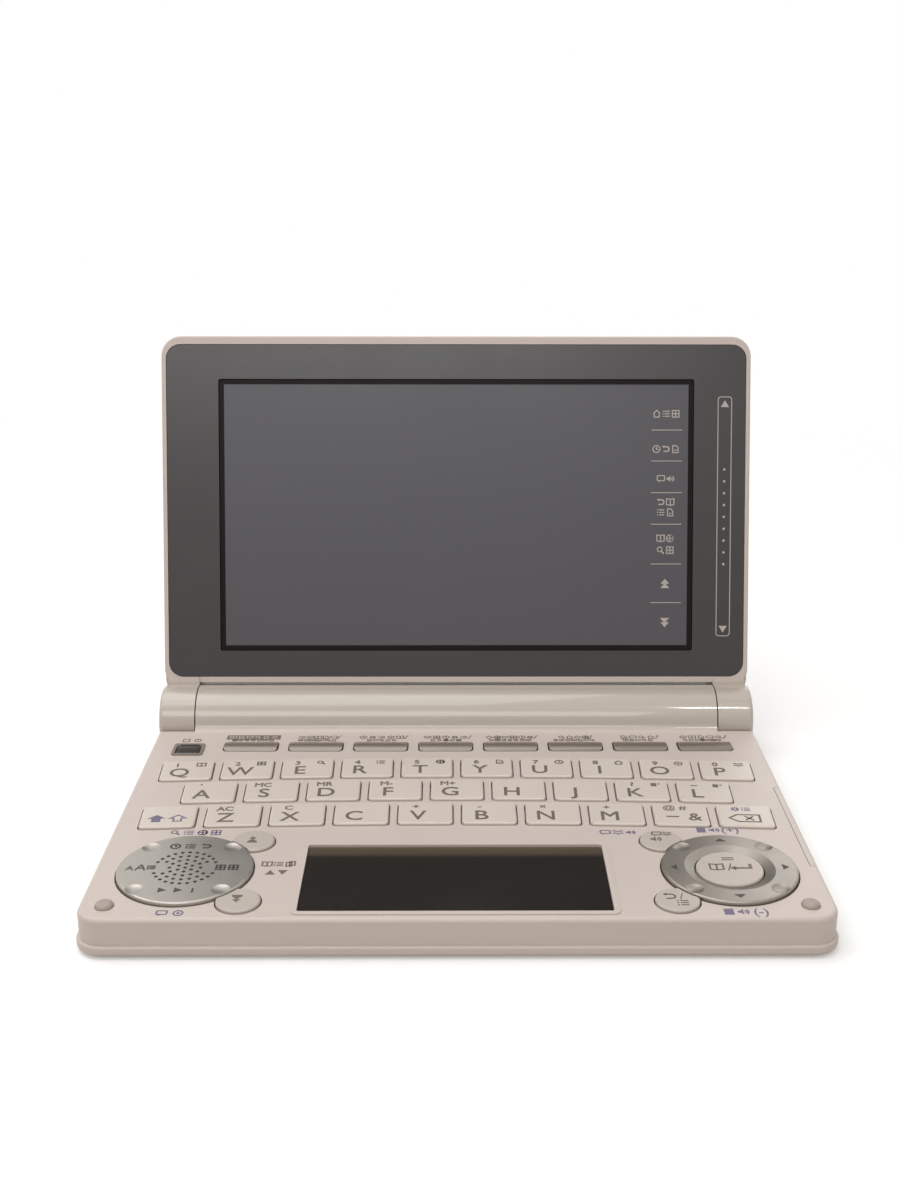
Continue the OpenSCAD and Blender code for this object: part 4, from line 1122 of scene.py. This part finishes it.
class DICTIONARY_OT_deck_prints(bpy.types.Operator):
    """Print the deck around the round controls"""
    bl_idname = "dictionary.deck_prints"
    bl_label = "Deck prints"

    def execute(self, context):
        left = middle("speaker_disc").x / MM
        right = middle("cursor_ring").x / MM
        ink = Ink(pen=0.36, shade=VIOLET)
        # above and below the speaker disc
        side_by_side(ink, (sign_lens, sign_list, sign_globe, sign_grid), left - 0.6, 35.0, 2.9, 2.3)
        side_by_side(ink, (sign_speech, sign_target), left - 0.2, 2.4, 3.2, 2.2)
        # sound level above and below the cursor ring
        for y, mark in ((35.9, "(+)"), (2.6, "(-)")):
            ink.block(right - 3.0, y, 1.9, 2.2)
            sign_sound(ink, right - 0.2, y, 2.5)
            ink.text(mark, right + 3.2, y, 2.2)
        # speech, left of the voice key
        side_by_side(ink, (sign_speech, sign_wave, sign_sound), 34.4, 34.9, 2.7, 2.3)
        # turning the page, between the page keys
        ink.shade = BROWN
        side_by_side(ink, (sign_book, sign_list, sign_page), left + 18.7, 21.4, 2.4, 2.2)
        ink.triangle(left + 17.3, 18.0, 2.1, 1.8)
        ink.triangle(left + 19.8, 18.0, 2.1, 1.8, 180)
        ink.finish("deck_prints", ON_DECK, "base")
        return {"FINISHED"}


class DICTIONARY_OT_display(bpy.types.Operator):
    """Finish the bezel and the display, and print the bezel and the display's touch marks"""
    bl_idname = "dictionary.display"
    bl_label = "Display"

    # touch marks beside the picture: lines, and pictograms in the fields between them
    LINES = (72.8, 65.0, 57.0, 49.0, 38.9, 29.05)
    LINE_X, LINE_W = 53.25, 7.8
    FIELDS = (
        (76.9, (sign_house, sign_list, sign_grid)),
        (68.0, (sign_clock, sign_return, sign_note)),
        (60.5, (sign_speech, sign_sound)),
        (54.6, (sign_return, sign_book)),
        (52.0, (sign_list, sign_note)),
        (45.4, (sign_book, sign_globe)),
        (42.4, (sign_lens, sign_grid)),
    )
    SIGN_X = 53.05
    PAD_X, PAD_W, PAD_LOW, PAD_HIGH = 67.8, 3.4, 20.6, 81.1
    PAD_DOTS, DOT_STEP, DOT_R = 9, 3.0, 0.32

    def execute(self, context):
        finish_nodes(printed_bezel(), "screen_bezel")
        finish_nodes(display_glass(), "main_display")
        self.touch_marks()
        self.slide_pad()
        return {"FINISHED"}

    def touch_marks(self):
        """Six short lines beside the picture, with pictograms or page arrows in each field."""
        ink = Ink(pen=0.26)
        for y in self.LINES:
            ink.line([(self.LINE_X - self.LINE_W / 2, y), (self.LINE_X + self.LINE_W / 2, y)], 0.2)
        for y, signs in self.FIELDS:
            side_by_side(ink, signs, self.SIGN_X, y, 2.4, 2.1)
        for y, side, turn in ((33.9, 1, 0), (24.0, -1, 180)):
            ink.triangle(self.SIGN_X, y + side * 0.6, 2.2, 1.3, turn)
            ink.triangle(self.SIGN_X, y - side * 0.5, 2.4, 1.3, turn)
        ink.finish("display_touch_marks", on_lid(GLASS_FACE), "lid", inks("pale"))

    def slide_pad(self):
        """Outline of the slide pad at the side of the bezel, a pointer at each end, and a row of dots."""
        ink = Ink()
        centre = (self.PAD_LOW + self.PAD_HIGH) / 2
        tall = self.PAD_HIGH - self.PAD_LOW
        ink.box(self.PAD_X, centre, self.PAD_W, tall, 0.22, r=0.7)
        for side, turn in ((-1, 180), (1, 0)):
            ink.triangle(self.PAD_X, centre + side * (tall / 2 - 1.7), 2.1, 1.7, turn)
        for i in range(self.PAD_DOTS):
            ink.dot(self.PAD_X, centre + (i - (self.PAD_DOTS - 1) / 2) * self.DOT_STEP, self.DOT_R)
        ink.finish("bezel_slide_pad", on_lid(BEZEL_FACE), "lid", inks("pale"))


class DICTIONARY_OT_writing_panel(bpy.types.Operator):
    """Finish the writing panel"""
    bl_idname = "dictionary.writing_panel"
    bl_label = "Writing panel"

    def execute(self, context):
        finish_nodes(touch_film(), "sub_display")
        return {"FINISHED"}


class DICTIONARY_OT_power_frame(bpy.types.Operator):
    """Add the painted collar around the power key"""
    bl_idname = "dictionary.power_frame"
    bl_label = "Power frame"

    COLLAR = (7.5, 6.5, 0.85)  # width, depth and corner radius, mm
    HOLE = (6.0, 5.0, 0.55)
    RISE = 0.3

    def execute(self, context):
        centre = middle("power_key")
        ink = Ink(high=self.RISE)
        ink.band(rounded(0, 0, *self.COLLAR), rounded(0, 0, *self.HOLE))
        paint = flake_paint("power_collar_paint", linear("#8C7F76"), flake=0.0002, metallic=0.3,
                            low=0.32, high=0.42)
        ink.finish("power_collar", level(centre.x, centre.y, DECK_Z), "base", [paint])
        return {"FINISHED"}


class DICTIONARY_OT_inner_parts(bpy.types.Operator):
    """Finish what shows only from below, or when a cover is off"""
    bl_idname = "dictionary.inner_parts"
    bl_label = "Inner parts"

    def execute(self, context):
        finish_nodes(rubber_parts(), "rubber_feet")
        finish_nodes(mat_silicone(), "key_mat")
        finish_nodes(turned_steel(), "case_screws", "hinge_pins")
        finish_nodes(circuit_board(), "main_board")
        finish_nodes(sleeved_cell(), "battery_cells")
        return {"FINISHED"}


class DICTIONARY_OT_stage(bpy.types.Operator):
    """Set up the table, the light and the camera"""
    bl_idname = "dictionary.stage"
    bl_label = "Stage"

    CAMERA = (-0.001261, -0.305999, 0.155880)
    TILT, TURN, ROLL = 0.329603, 0.006393, 0.001867
    SHIFT_X, SHIFT_Y = -0.008535, 0.000335
    TABLE_HALF = 60                  # half its width, so that no view shows its edge
    GLOW = 0.2                       # what the table shows above its own light, so that it is white
    NEAR, FAR = 0.16, 0.5            # where the table turns plain white
    SKY_LOW, SKY_HIGH = 0.12, 0.54   # light of the sky at the horizon and above
    SKY_TOP = 0.8                    # height on the sky from which it is full
    # each lamp's place, what it looks at, its width and depth, and the property with its power
    LAMPS = {
        "ceiling": ((-0.28, 0.05, 0.8), (0.0, 0.0, 0.0), 0.8, 0.8, "overhead"),
        "window": ((-0.12, -0.72, 0.54), (0.0, 0.05, 0.06), 0.6, 0.26, "front_light"),
        "streak": ((0.188, -0.37, 0.58), (0.06, 0.03, 0.01), 0.055, 0.07, "side_light"),
        "behind": ((0.15, 0.95, 0.55), (0.0, 0.1, 0.05), 0.8, 0.5, "back_light"),
    }

    def execute(self, context):
        scene = context.scene
        self.floor(scene.dictionary_stage)
        self.world(scene)
        for name, (place, target, width, depth, watts) in self.LAMPS.items():
            self.lamp(name, place, target, width, depth, getattr(scene.dictionary_stage, watts))
        self.camera(scene)
        scene.view_settings.view_transform = "Standard"
        return {"FINISHED"}

    def floor(self, stage):
        """A pale table top. Near the object it keeps the shadow, and further away it is plain white."""
        grid = bmesh.new()
        bmesh.ops.create_grid(grid, x_segments=1, y_segments=1, size=self.TABLE_HALF)
        mesh = bpy.data.meshes.new("table")
        grid.to_mesh(mesh)
        grid.free()
        table = linked("table", mesh)
        material, tree, shader, place = surface("table_laminate", specular_ior_level=0.0, roughness=0.9)
        top = tint(tree, shader, place, stage.floor, size=0.3, contrast=0.01)
        seen = self.seen(tree)
        tone = add(tree, "ShaderNodeMix", {0: seen, 6: stage.bounce, 7: top}, data_type="RGBA")
        tree.links.new(tone.outputs[2], shader.inputs["Base Color"])
        glow = add(tree, "ShaderNodeEmission", {"Strength": self.GLOW})
        extra = add(tree, "ShaderNodeMixShader", {0: seen, 2: glow.outputs[0]})
        near = add(tree, "ShaderNodeAddShader", {0: shader.outputs[0], 1: extra.outputs[0]})
        far = add(tree, "ShaderNodeVectorMath", {0: place}, operation="LENGTH")
        fade = add(tree, "ShaderNodeMapRange", {"Value": far.outputs["Value"], "From Min": self.NEAR,
                                                "From Max": self.FAR}, interpolation_type="SMOOTHSTEP")
        white = add(tree, "ShaderNodeMath", {0: fade.outputs["Result"], 1: seen}, operation="MULTIPLY")
        plain = add(tree, "ShaderNodeEmission", {"Strength": 1.0})
        both = add(tree, "ShaderNodeMixShader",
                   {0: white.outputs[0], 1: near.outputs[0], 2: plain.outputs[0]})
        tree.links.new(both.outputs[0], tree.nodes["Material Output"].inputs["Surface"])
        table.data.materials.append(material)

    def seen(self, tree):
        """1 for camera, glossy and transmission rays."""
        path = add(tree, "ShaderNodeLightPath").outputs
        first = add(tree, "ShaderNodeMath", {0: path["Is Camera Ray"], 1: path["Is Glossy Ray"]},
                    operation="MAXIMUM")
        return add(tree, "ShaderNodeMath", {0: first.outputs[0], 1: path["Is Transmission Ray"]},
                   operation="MAXIMUM").outputs[0]

    def world(self, scene):
        """White where it is seen, and a soft sky, brighter above, where it lights the object."""
        world = bpy.data.worlds.new("studio")
        world.use_nodes = True
        tree = world.node_tree
        place = add(tree, "ShaderNodeTexCoord").outputs["Generated"]
        split = add(tree, "ShaderNodeSeparateXYZ", {"Vector": place})
        sky = add(tree, "ShaderNodeMapRange", {"Value": split.outputs["Z"], "From Max": self.SKY_TOP,
                                               "To Min": self.SKY_LOW, "To Max": self.SKY_HIGH})
        light = add(tree, "ShaderNodeMix", {0: self.seen(tree), 2: sky.outputs["Result"], 3: 1.0},
                    data_type="FLOAT")
        background = tree.nodes["Background"]
        background.inputs["Color"].default_value = (1, 1, 1, 1)
        tree.links.new(light.outputs[0], background.inputs["Strength"])
        scene.world = world

    def lamp(self, name, place, target, width, depth, watts):
        light = bpy.data.lights.new(name, "AREA")
        light.shape = "RECTANGLE"
        light.size = width
        light.size_y = depth
        light.energy = watts
        lamp = linked(name, light)
        lamp.location = place
        lamp.rotation_euler = (Vector(target) - Vector(place)).to_track_quat("-Z", "Y").to_euler()

    def camera(self, scene):
        """The photograph's view: in front of the object and above it, looking down."""
        forward = Vector((math.sin(self.TURN) * math.cos(self.TILT),
                          math.cos(self.TURN) * math.cos(self.TILT), -math.sin(self.TILT)))
        across = Vector((math.cos(self.TURN), -math.sin(self.TURN), 0))
        upright = across.cross(forward)
        right = math.cos(self.ROLL) * across + math.sin(self.ROLL) * upright
        up = math.cos(self.ROLL) * upright - math.sin(self.ROLL) * across
        view = bpy.data.cameras.new("camera")
        view.lens = scene.dictionary_stage.lens
        view.sensor_width = 36
        view.shift_x = self.SHIFT_X
        view.shift_y = self.SHIFT_Y
        camera = linked("camera", view)
        turned = Matrix((right, up, -forward)).transposed().to_4x4()
        camera.matrix_world = Matrix.Translation(self.CAMERA) @ turned
        scene.camera = camera


class DICTIONARY_PT_looks(bpy.types.Panel):
    """The sizes, the colours and the steps, in order"""
    bl_idname = "DICTIONARY_PT_looks"
    bl_label = "Electronic dictionary"
    bl_space_type = "VIEW_3D"
    bl_region_type = "UI"
    bl_category = "Dictionary"

    def draw(self, context):
        for group in GROUPS:
            box = self.layout.box()
            settings = getattr(context.scene, group)
            for key in settings.bl_rna.properties.keys():
                if key not in ("rna_type", "name"):
                    box.prop(settings, key)
        for step in STEPS:
            self.layout.operator(step.bl_idname)


GROUPS = {
    "dictionary_case": DictionaryCase,
    "dictionary_prints": DictionaryPrints,
    "dictionary_displays": DictionaryDisplays,
    "dictionary_stage": DictionaryStage,
}
STEPS = (
    DICTIONARY_OT_shells,
    DICTIONARY_OT_keys,
    DICTIONARY_OT_letters,
    DICTIONARY_OT_shortcut_labels,
    DICTIONARY_OT_round_controls,
    DICTIONARY_OT_deck_prints,
    DICTIONARY_OT_display,
    DICTIONARY_OT_writing_panel,
    DICTIONARY_OT_power_frame,
    DICTIONARY_OT_inner_parts,
    DICTIONARY_OT_stage,
)
CLASSES = (*GROUPS.values(), *STEPS, DICTIONARY_PT_looks)


def register():
    for cls in CLASSES:
        bpy.utils.register_class(cls)
    for name, group in GROUPS.items():
        setattr(bpy.types.Scene, name, bpy.props.PointerProperty(type=group))


def unregister():
    for name in GROUPS:
        delattr(bpy.types.Scene, name)
    for cls in reversed(CLASSES):
        bpy.utils.unregister_class(cls)


def main():
    register()
    for step in STEPS:
        group, name = step.bl_idname.split(".")
        getattr(getattr(bpy.ops, group), name)()


if __name__ == "__main__":
    main()
